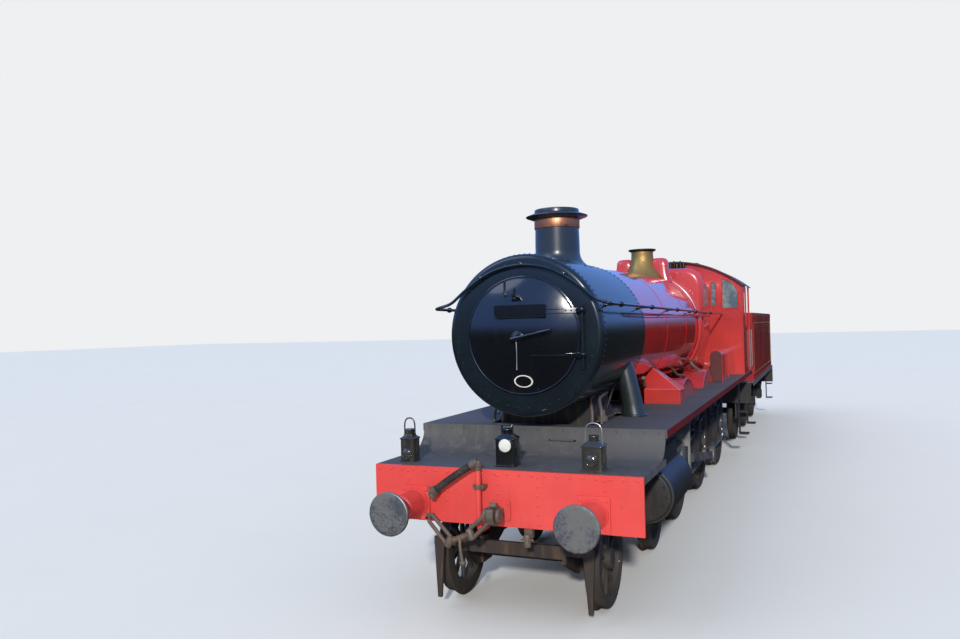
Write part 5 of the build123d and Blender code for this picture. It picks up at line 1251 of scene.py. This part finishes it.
def lamp(number, x, d, half, tall, share, lens, bail):
    """A cased lamp: body, framed door, lens tube, stepped cap, chimney with its hood and a handle."""
    bright, foot, top = lens is REFLECTION_PAINTED_LENS, LAMP_FOOT, LAMP_FOOT + tall
    piece = Piece(f"lamp_{number}")

    def square(w):
        """The case's outline at a half width."""
        return rounded(x - w, x + w, d - w, d + w, 0.014, 3)

    levels = [(half, foot), (half, foot + 0.012), (half - 0.008, foot + 0.014), (half - 0.008, top - 0.012),
              (half - 0.001, top - 0.01), (half - 0.001, top), (half - 0.03, top + 0.022),
              (0.048, top + 0.04)]
    rows = [spot(*square(w).T, z) for w, z in levels]
    piece.grid(np.stack(rows))
    front, mid, size = d - half + 0.008, foot + tall * share, 1.32 if bright else 1.0
    middle = x + 0.016 if bright else x
    low, high = max(mid - 0.078, foot + 0.016), min(mid + 0.078, top - 0.004)
    door = rounded(middle - 0.062, middle + 0.062, low, high, 0.01, 3)
    piece.plate(door, front - 0.005, front + 0.002, "y")
    ring = np.array([(front, 0.056), (front - 0.022, 0.056), (front - 0.026, 0.052), (front - 0.024, 0.045),
                     (front, 0.045)])
    piece.turned(soften(ring * [1, size], 0.003, 3), (middle, mid), "y", 32)
    stack = soften([(top + 0.02, 0.044), (top + 0.07, 0.044), (top + 0.072, 0.05), (top + 0.088, 0.048),
                    (top + 0.09, 0.03), (top + 0.09, 0)], 0.003, 3)
    piece.turned(stack, (x, d), "z", 28)
    reach = half - 0.023
    for s in (-1, 1):
        hinge = x + s * (half - 0.004)
        piece.box(hinge - 0.005, hinge + 0.005, d - 0.02, d + 0.02, foot + tall * 0.35, foot + tall * 0.65)
        piece.box(x + s * reach - 0.012, x + s * reach + 0.012, d - 0.012, d + 0.012, top - 0.03, top + 0.012)
    piece.done("engine", LAMP_BLACK if bright else LAMP_GREY, "black_paint", ["lamps"], bevel=0.002)
    rail = Piece(f"lamp_handle_{number}").grid(lamp_handle(x, d, top, half, bright))
    rail.done("engine", bail, "bright_steel" if bail is STEEL else "black_paint")
    r = np.linspace(0, 0.046 * size, 8)
    dome = pairs(front - 0.022 - 0.012 * (1 - (r / r[-1]) ** 2), r)
    glass = np.vstack([dome, [(front - 0.01, r[-1]), (front - 0.01, 0)]])
    Piece(f"lamp_lens_{number}").turned(glass, (middle, mid), "y", 32).done(
        "engine", lens, "window_glass")


def lamps():
    """The three lamps: place, half width, height of the case, share of it at the lens, lens and handle."""
    rows = ((-1.06, 0.25, 0.08, 0.23, 0.36, DARK_LENS, LAMP_GREY),
            (-0.02, 0.25, 0.098, 0.262, 0.78, REFLECTION_PAINTED_LENS, LAMP_BLACK),
            (0.83, 0.2, 0.1, 0.23, 0.46, DARK_LENS, STEEL))
    for number, row in enumerate(rows, 1):
        lamp(number, *row)


def front_rivets():
    """Rivet rows on the buffer beam and the plate edges, a step on the plate and the red valance strips."""
    piece = Piece("beam_rivets")
    rows = [spot(x, 0, np.linspace(0.93, 1.35, 6)) for x in (-0.955, -0.543, -0.03, 0.358, 0.973)]
    rows.append(spot(np.linspace(-1.26, 1.26, 22), 0, 1.362))
    piece.studs(np.vstack(rows), [0, -1, 0], 0.0155)
    piece.done("engine", BEAM_RED, "red_paint")
    piece = Piece("plate_rivets")
    x = np.linspace(-1.25, 1.25, 19)
    piece.studs(spot(x, 1.05, 1.628), [0, -1, 0], 0.0135)
    d = np.arange(1.2, 10.8, 0.16)
    piece.studs(spot(1.3, d, PLATE_TOP), [0, 0, 1], 0.007, both=True)
    left, right, front, back, low, high = 0.14, 0.42, 0.985, 1.05, 1.535, 1.545
    piece.box(left, right, front, front + 0.014, low, high)
    for x in (left, right - 0.012):
        piece.box(x, x + 0.012, front, back, low, high)
    piece.done("engine", PLATFORM, "platform_grey")
    edge = Piece("valance_red").box(1.3255, 1.328, 1.05, 10.9, 1.582, 1.66, both=True)
    edge.done("engine", VALANCE_RED, "red_paint", bevel=0.001)


# Side fittings

def splashers():
    """Splashers, an arched top r above the axle with flat faces and a bead, and the fire-iron tunnel."""
    piece, beads = Piece("splasher_arches"), Piece("splasher_beads")
    r, x0, x1, thick = 1.01, 0.64, 0.98, 0.006
    for name, d in DRIVERS.items():
        half = np.arccos((PLATE_TOP - DRIVER_R) / r)
        end = np.arcsin(min((CAB_FRONT - d) / r, sin(half))) if name == "trailing" else half
        t = np.linspace(-half, half, 40)
        outer, inner = arc(d, DRIVER_R, r, t), arc(d, DRIVER_R, r - thick, t)[::-1]
        piece.plate(np.vstack([outer, inner]), x0, x1, "x", both=True)
        piece.plate(outer, x1 - thick, x1, "x", both=True)
        piece.plate(outer, x0, x0 + thick, "x", both=True)
        edge = arc(d, DRIVER_R, r - 0.004, np.linspace(-half, min(end, half), 40))
        beads.pipe(spot(x1, *edge.T), 0.011, 8, both=True)
    piece.done("engine", CRIMSON, "red_paint", ["splashers"], angle=30)
    beads.done("engine", CRIMSON, "red_paint")
    x0, x1, front, top = 0.945, 1.135, 7.3, 2.2
    half, mid = (x1 - x0) / 2, (x0 + x1) / 2
    t = np.linspace(0, pi, 20)

    def section(cut):
        """The tunnel's round-topped section, drawn in by the cut."""
        arch = pairs(mid + (half - cut) * np.cos(t), top - half + (half - cut) * np.sin(t))
        return np.vstack([[(x1 - cut, PLATE_TOP)], arch, [(x0 + cut, PLATE_TOP)]])

    tunnel = Piece("tunnel_casing").plate(section(0), front, CAB_FRONT - 0.0005, "y")
    for d in (front + 0.02, 8.3, 9.2):
        tunnel.plate(section(-0.004), d - 0.012, d + 0.012, "y")
    tunnel.done("engine", CRIMSON, "red_paint", angle=30)
    Piece("tunnel_rim").plate(section(0.002), front - 0.012, front + 0.001, "y").done(
        "engine", FRAME_BLACK, "black_paint", bevel=0.002)
    face = Piece("tunnel_door").plate(section(0.016) + [0, 0.012], front - 0.018, front - 0.011, "y")
    face.done("engine", TUNNEL_END, "black_paint", bevel=0.002)


def motion_covers():
    """The casings ahead of the leading splashers: planes that slope back and in, under the barrel.

    Front slope z = 1.85 + 1.069 (d - 3.54); side slope z = 1.84 + 0.685 (1.05 - x); the barrel's
    underside z = centre - sqrt(R^2 - x^2)."""
    x0, x1, front, low, shoulder = 0.59, 1.05, where("motion_cover")[0][1], 1.85, 1.84
    rise, side, under, ridge = 1.069, 0.685, 0.8355, 0.664
    top = shoulder + side * (x1 - ridge)
    last = front + (top - low) / rise
    rear, lean = 3.847, 0.229

    def section(level):
        """The casing's section where its front slope has risen to a level."""
        edge = max(sqrt(max(under ** 2 - (BOILER_Z - level) ** 2, x0 ** 2)), x0)
        x = np.linspace(edge, x0, 6)
        z = np.minimum(BOILER_Z - np.sqrt(under ** 2 - x ** 2), level)
        hip = x1 - (level - shoulder) / side
        start = [(x0, PLATE_TOP), (x1, PLATE_TOP), (x1, shoulder), (hip, level)]
        return np.vstack([start, pairs(x, z)])

    levels = np.linspace(low, top, 6)
    rings = [section(level) for level in levels]
    depths = [front + (level - low) / rise for level in levels]
    rings.append(rings[-1])
    depths.append(rear + (rings[-1][:, 1] - PLATE_TOP) * lean)
    grid = np.stack([spot(r[:, 0], d, r[:, 1]) for r, d in zip(rings, depths)])
    piece = Piece("motion_covers").grid(grid, both=True)
    piece.box(0.66, 1.03, front - 0.006, front, 1.69, 1.83, both=True)
    x = np.linspace(0.69, 1.0, 5)
    piece.studs(spot(x, front - 0.006, 1.815), [0, -1, 0], 0.008, both=True)
    piece.done("engine", CRIMSON, "red_paint", ["motion_cover"], angle=20)
    # The hip, front and shoulder beads are light red, a painted highlight on the casing's edges.
    beads = Piece("cover_beads")
    hip = [(x1, front, shoulder), (x1 - (low - shoulder) / side, front, low), (ridge, last, top)]
    beads.pipe(hip, 0.008, 8, both=True)
    beads.pipe([(x0 + 0.01, front, low), (0.8, front, low), (x1 - 0.015, front, low)], 0.006, 8, both=True)
    beads.pipe([(x1, front, shoulder), (x1, 3.7, shoulder), (x1, 3.88, shoulder)], 0.006, 8, both=True)
    beads.done("engine", HIGHLIGHT_BEAD_RED, "red_paint")


def handrails():
    """The long rail on turned knobs, carried round the smokebox front, and a thin pipe under it.

    A knob starts on the barrel, sqrt(R^2 - height^2), or on the firebox's drawn-in side."""
    x, end = 0.935, CAB_FRONT - 0.001
    near = [(x, end, 2.835), (x, 1.0, 2.895), (0.915, 0.585, 2.9), (0.76, 0.64, 2.945), (0.56, 0.66, 3.12),
            (0.31, 0.66, 3.268)]
    route = [*flip(np.array(near)), (0, 0.66, 3.325), *near[::-1]]
    piece = Piece("handrail_long")
    piece.pipe(soften(route, [0.1, 0.16, 0.06, 0.06] + [0.14] * 5 + [0.06, 0.06, 0.16, 0.1], 8), 0.0155, 12)
    for d in (0.96, 2.48, 4.2, 5.9, 7.6):
        z = 2.895 - 0.06 * (d - 1) / (CAB_FRONT - 1)
        r = SMOKE_R if d < SMOKE_REAR else float(barrel_radius(d))
        fire_side = 0.893 - 0.193 * (d - 6.97) / 2.37
        start = sqrt(r ** 2 - (z - BOILER_Z) ** 2) if d < FIREBOX_FRONT else fire_side
        knob = [(start - 0.004, 0), (start - 0.004, 0.026), (start + 0.012, 0.024), (start + 0.022, 0.012),
                (x - 0.034, 0.011), (x - 0.026, 0.022), (x - 0.008, 0.029), (x + 0.01, 0.027),
                (x + 0.024, 0.012), (x + 0.026, 0)]
        piece.turned(soften(knob, 0.004, 3), (d, z), "x", 20, both=True)
    knob = [(0.644, 0), (0.65, 0.02), (0.662, 0.026), (0.674, 0.02), (0.682, 0.012), (0.7, 0.012),
            (0.71, 0.024), (0.712, 0)]
    for cx, cz in ((0, 3.322), (-0.44, 3.205), (0.44, 3.205)):
        piece.turned(soften(knob, 0.004, 3), (cx, cz), "y", 18)
    piece.done("engine", BLACK, "black_paint", ["handrails"], angle=40)
    pipes = Piece("side_pipes")
    d = np.array([1.55, 1.75, 2.1, 3.5, 5.0, 6.3, 7.2, 7.6, 7.75])
    px = np.array([0.79, 0.85, 0.875, 0.885, 0.885, 0.905, 0.925, 0.93, 0.885])
    line = soften(spot(px, d, np.interp(d, [1.5, 7.7], [2.815, 2.79])), 0.1, 6)
    pipes.pipe(line, 0.01, 10, both=True)
    pipes.done("engine", BLACK, "black_paint")


def boiler_pipes():
    """Feed and lubricator pipes low down beside the barrel and the firebox."""
    piece = Piece("injector_pipes")
    routes = (
        ([(0.7, 6.49, 2.1), (0.8, 6.5, 1.95), (0.93, 6.7, 1.86), (0.95, 7.6, 1.84), (0.93, 8.3, 1.8),
          (0.93, 8.35, 1.66)], 0.026),
        ([(0.62, 5.4, 2.02), (0.66, 5.6, 1.9), (0.68, 6.3, 1.84), (0.66, 6.9, 1.8)], 0.02),
        ([(0.66, 3.2, 2.02), (0.6, 3.4, 1.9), (0.6, 5.2, 1.88), (0.6, 5.4, 1.7)], 0.024),
    )
    for route, radius in routes:
        piece.pipe(soften(route, 0.12, 8), radius, 12, both=True)
    piece.done("engine", COUPLING_IRON, "rusty_steel")
    plumbing = Piece("saddle_fittings")
    for x in (0.5, 0.6):
        route = [(x, 1.35, 1.67), (x, 1.36, 1.8), (x - 0.05, 1.45, 1.92), (x - 0.08, 1.9, 1.95)]
        plumbing.pipe(soften(route, 0.08, 6), 0.018, 10, both=True)
    valve = soften([(1.667, 0), (1.667, 0.06), (1.72, 0.055), (1.74, 0.03), (1.79, 0.03), (1.8, 0)], 0.01)
    plumbing.turned(valve, (0.56, 1.55), "z", 20, both=True)
    for d in np.linspace(1.45, 2.2, 7):
        plumbing.studs([(0.53, d, 1.68), (-0.53, d, 1.68)], [0, 0, 1], 0.014)
    plumbing.done("engine", COUPLING_IRON, "rusty_steel", angle=35)


def whistles():
    """Whistles and steam valves on their carrier: bells with domed tops over thin stems, their brass darkened
    with painted shade.
    """
    low, mid = where("whistles")[0][2], CAB_FRONT - 0.15
    stems, bells = Piece("whistle_carrier"), Piece("whistle_bells")
    stems.box(-0.045, 0.28, mid - 0.03, mid + 0.03, low, low + 0.06)
    for x, radius, height in ((-0.01, 0.03, 0.382), (0.06, 0.022, 0.407), (0.115, 0.034, 0.362),
                              (0.18, 0.024, 0.402), (0.245, 0.03, 0.372)):
        stems.grid(lathe([(low + 0.03, 0.014), (low + 0.17, 0.014)], (x, mid), "z", 14))
        top = low + height
        bell = [(low + 0.15, 0.012), (low + 0.152, radius), (low + 0.176, radius),
                (low + 0.18, radius - 0.007), (low + 0.19, radius - 0.007), (low + 0.194, radius),
                (top - radius, radius), (top - radius * 0.35, radius * 0.8), (top, 0.006), (top, 0)]
        bells.turned(soften(bell, 0.003, 3), (x, mid), "z", 24)
    stems.done("engine", COUPLING_IRON, "rusty_steel", ["whistles"], bevel=0.002)
    bells.done("engine", SHADED_BRASS, "brass", angle=35)


def cab_details():
    """Beads, window frames, rivets and rails on the cab, and the arched roof with its ribs."""
    front = Piece("cab_beads")
    windows = ([(0.93, 2.94), (1.232, 2.94), (1.232, 3.27), (1.15, 3.42), (1.05, 3.49), (0.94, 3.52)],
               [(0.722, 2.99), (0.822, 2.99), (0.822, 3.44), (0.77, 3.47), (0.722, 3.44)])
    for outline in windows:
        o = soften(outline, 0.02, 4, True)
        line = spot(o[:, 0], CAB_FRONT - 0.002, o[:, 1])
        front.pipe(np.vstack([line, line[:2]]), 0.011, 8, both=True)
    front.box(0.72, 1.314, CAB_FRONT - 0.008, CAB_FRONT, 2.733, 2.747, both=True)
    z = np.linspace(1.72, 3.3, 22)
    front.box(1.3, 1.318, CAB_FRONT - 0.01, CAB_FRONT + 0.02, 1.667, 3.38, both=True)
    front.studs(spot(1.282, CAB_FRONT, z), [0, -1, 0], 0.006, both=True)
    front.done("engine", CRIMSON, "red_paint", bevel=0.002)
    side = Piece("cab_side_beads")
    x = 1.316
    opening = soften([(9.95, 3.36), (9.95, 2.62), (10.02, 2.56), (10.4, 2.56), (10.42, 2.5), (10.42, 1.68)],
                     0.05, 6)
    side.pipe(spot(x, *opening.T), 0.012, 8, both=True)
    frame_line = rounded(9.56, 9.85, 2.8, 3.26, 0.03)
    line = spot(x, *frame_line.T)
    side.pipe(np.vstack([line, line[:2]]), 0.01, 8, both=True)
    side.box(x - 0.002, x + 0.006, CAB_FRONT + 0.02, 10.42, 2.548, 2.562, both=True)
    side.done("engine", CRIMSON, "red_paint", bevel=0.002)
    rails = Piece("cab_rails")
    for d in (10.46, 10.84):
        rails.pipe([(1.335, d, 1.75), (1.335, d, 2.1), (1.335, d, 2.5)], 0.013, 10, both=True)
    rails.done("engine", STEEL, "bright_steel")
    low, high = where("cab_roof")
    r = 2.035
    zc = high[2] - r
    half = np.arcsin(high[0] / r)
    t = np.linspace(-half, half, 60)
    roof = Piece("cab_roof_sheet")
    roof.plate(np.vstack([arc(0, zc, r, t), arc(0, zc, r - 0.012, t)[::-1]]), low[1], high[1], "y")
    rib = np.vstack([arc(0, zc, r + 0.008, t), arc(0, zc, r - 0.002, t)[::-1]]) * [0.985, 1]
    for d in (low[1] + 0.03, (low[1] + high[1]) / 2, high[1] - 0.03):
        roof.plate(rib, d - 0.018, d + 0.018, "y")
    roof.box(-0.42, 0.42, 9.8, 10.4, high[2] - 0.05, high[2])
    roof.done("engine", ROOF_GREY, "platform_grey", ["cab_roof"], bevel=0.002)
    inside = Piece("backhead_fittings")
    d = where("backhead")[1][1] - 0.14
    dial = soften([(d - 0.01, 0), (d - 0.01, 0.085), (d + 0.04, 0.085), (d + 0.05, 0.07), (d + 0.045, 0)],
                  0.006)
    for x0, z in ((-0.35, 2.75), (0.35, 2.75), (-0.15, 2.95), (0.15, 2.95)):
        inside.turned(dial, (x0, z), "y", 24)
    for x0 in (-0.5, -0.25, 0.0, 0.25, 0.5):
        route = [(x0, d, 3.2), (x0, d + 0.06, 3.0), (x0 * 0.8, d + 0.06, 2.3), (x0 * 0.7, d, 1.9)]
        inside.pipe(soften(route, 0.06, 5), 0.014, 10)
    inside.done("engine", BRASS, "brass", bevel=0.002)


# Tender

def tender():
    """The tank with its raised coping, its plain line, beads and rivets, and the gear on its top and ends."""
    low, high = where("tender_tank")
    z0, top = low[2], 2.78
    half, d0, d1 = high[0], low[1], high[1]
    tank = Piece("tank_plates")
    outline = soften([(-half, d0), (half, d0), (half, d1), (-half, d1)], [0.01, 0.01, 0.09, 0.09], 6, True)
    rows = []
    middle = np.array([0, (d0 + d1) / 2])
    outward = np.sign(outline - middle)
    deck = outline - outward * 0.012
    for z, out in ((z0, 0.0), (top - 0.04, 0.0), (top + 0.03, 0.004), (top + 0.088, 0.0)):
        rows.append(spot(*(outline + outward * [out, 0]).T, z))
    rows += [spot(*deck.T, top + 0.088), spot(*deck.T, top)]
    tank.grid(np.stack(rows), caps=False)
    space = np.array([(-1.06, 11.87), (1.06, 11.87), (1.06, 15.5), (-1.06, 15.5)])
    tank.plate(deck, 2.0, top, "z")
    tank.grid(slab(space, 2.05, top + 0.0005, "z"), caps=False)
    tank.done("tender", MAROON, "maroon_paint", ["tender_tank"], angle=30)
    trim = Piece("tank_lining")
    a, b, under, over = d0 + 0.18, d1 - 0.18, z0 + 0.16, top - 0.14
    for line_z in (under, over):
        trim.box(half, half + 0.0018, a, b, line_z - 0.006, line_z + 0.006, both=True)
    for line_d in (a, b):
        trim.box(half, half + 0.0018, line_d - 0.006, line_d + 0.006, under, over, both=True)
    trim.done("tender", LINING, "brass")
    beads = Piece("tank_beads")
    beads.box(half - 0.002, half + 0.008, d0, d1 - 0.05, top - 0.012, top + 0.012, both=True)
    d = np.arange(d0 + 0.06, d1 - 0.1, 0.07)
    beads.studs(spot(half, d, z0 + 0.035), [1, 0, 0], 0.006, both=True)
    z = np.arange(z0 + 0.08, top - 0.05, 0.07)
    for line_d in (d0 + 0.03, (d0 + d1) / 2, d1 - 0.12):
        beads.studs(spot(half, line_d, z), [1, 0, 0], 0.006, both=True)
    x = np.arange(-half + 0.1, half - 0.09, 0.08)
    for line_z in (z0 + 0.035, top - 0.05):
        beads.studs(spot(x, d1, line_z), [0, 1, 0], 0.006)
    beads.done("tender", MAROON, "maroon_paint")
    top_gear = Piece("tank_top_gear")
    filler = [(top, 0.25), (top + 0.05, 0.25), (top + 0.06, 0.27), (top + 0.085, 0.27), (top + 0.088, 0)]
    top_gear.turned(soften(filler, 0.01), (0, 16.7), "z", 40)
    top_gear.box(-0.9, 0.9, 15.52, 15.545, top, top + 0.085)
    for x in (-0.35, 0.35):
        ladder = [(x, d1 + 0.03, 1.5), (x, d1 + 0.03, 2.2), (x, d1 + 0.03, 2.74), (x, d1 - 0.02, 2.8)]
        top_gear.pipe(soften(ladder, 0.05, 5), 0.012, 10)
    for z in (1.6, 1.85, 2.1, 2.35, 2.6):
        top_gear.pipe([(-0.35, d1 + 0.03, z), (0, d1 + 0.03, z), (0.35, d1 + 0.03, z)], 0.01, 8)
    for x in (1.1, -0.34):
        top_gear.pipe([(x, d0 - 0.04, 1.5), (x, d0 - 0.04, 2.0), (x, d0 - 0.04, 2.6)], 0.013, 10)
    top_gear.done("tender", FRAME_BLACK, "frame_black", angle=40)


def coal_heap():
    """Coal: a heap z = dome of (x, d), with a round lump on each of the seeded random points."""
    rng = np.random.default_rng(7)
    half, front, rear, count = 1.05, 11.88, 15.49, 620
    x, d = np.meshgrid(np.linspace(-half, half, 92), np.linspace(front, rear, 150), indexing="ij")
    u, v = x / half, (d - 13.6) / 1.9
    heap = 2.36 + 0.47 * np.clip(1 - u ** 2, 0, 1) ** 0.6 * np.clip(1 - v ** 4, 0, 1) ** 0.5
    cx, cd = rng.uniform(-half, half, count), rng.uniform(front, rear, count)
    size, tone = rng.uniform(0.05, 0.12, count), rng.uniform(-0.03, 0.04, count)
    away = np.hypot(x[..., None] - cx, d[..., None] - cd) / size
    near = away.argmin(-1)
    close = np.take_along_axis(away, near[..., None], -1)[..., 0]
    heap = heap + tone[near] + 0.5 * size[near] * np.sqrt(np.clip(1 - np.minimum(close, 1) ** 2, 0, 1))
    heap = np.minimum(heap, 2.855)
    grid = spot(x, d, heap)
    piece = Piece("coal_heap").grid(grid, around=False)
    edge = np.concatenate([grid[:, 0], grid[-1, 1:], grid[::-1, -1][1:], grid[0, ::-1][1:-1]])
    floor_edge = edge * [1, 1, 0] + [0, 0, 2.051]
    piece.grid(np.stack([edge, floor_edge]), caps=False)
    piece.add(floor_edge, [np.arange(len(floor_edge))])
    piece.done("tender", COAL, "coal", ["tender_coal"], angle=20)


def tender_springs():
    """Axleboxes with lids, leaf springs in buckles above them, and the foot steps.

    Leaf k lies at z = 0.935 - 0.019 k - 0.055 (1 - (s / 0.5)^2), s along it from its middle."""
    piece = Piece("tender_axlebox_springs")
    face = where("tender_axleboxes")[1][0] - 0.14
    for d in TENDER_AXLES:
        piece.box(face, face + 0.12, d - 0.13, d + 0.13, 0.5, 0.77, both=True)
        lid = soften([(d - 0.095, 0.53), (d + 0.095, 0.53), (d + 0.095, 0.72), (d, 0.755), (d - 0.095, 0.72)],
                     0.02, 4, True)
        piece.plate(lid, face + 0.12, face + 0.139, "x", both=True)
        for k, half in enumerate((0.5, 0.43, 0.36, 0.28, 0.2, 0.13)):
            s = np.linspace(-half, half, 16)
            bow = 0.935 - k * 0.019 - 0.055 * (1 - (s / 0.5) ** 2)
            leaf = np.vstack([pairs(d + s, bow + 0.008), pairs(d + s, bow - 0.008)[::-1]])
            piece.plate(leaf, face + 0.03, face + 0.12, "x", both=True)
        piece.box(face + 0.022, face + 0.128, d - 0.045, d + 0.045, 0.765, 0.915, both=True)
        for s in (-1, 1):
            eye = d + s * 0.48
            piece.box(face, face + 0.115, eye - 0.022, eye + 0.022, 0.9, 0.955, both=True)
            hanger = spot(face + 0.075, d + s * 0.49, np.array([0.8, 0.88, 0.975]))
            piece.pipe(hanger, 0.013, 10, both=True)
    piece.done("tender", CAST_IRON, "cast_iron", ["tender_axleboxes"], bevel=0.003)
    steps = Piece("tender_steps")
    for d in (11.62, 17.75):
        for tread in (0.45, 0.85):
            steps.box(1.15, 1.31, d - 0.16, d + 0.16, tread, tread + 0.015, both=True)
        steps.box(1.14, 1.15, d - 0.16, d + 0.16, 0.45, 1.34, both=True)
    steps.done("tender", FRAME_BLACK, "frame_black", bevel=0.002)


smokebox()
smokebox_door()
door_furniture()
door_plates()
chimney()
barrel()
firebox()
bonnet()
top_feed()
steam_pipes()
driving_wheels()
small_wheels()
coupling_rods()
cylinders()
buffers(False)
buffers(True)
coupling(False)
coupling(True)
vacuum_pipe()
lamps()
front_rivets()
splashers()
motion_covers()
handrails()
boiler_pipes()
whistles()
cab_details()
tender()
coal_heap()
tender_springs()
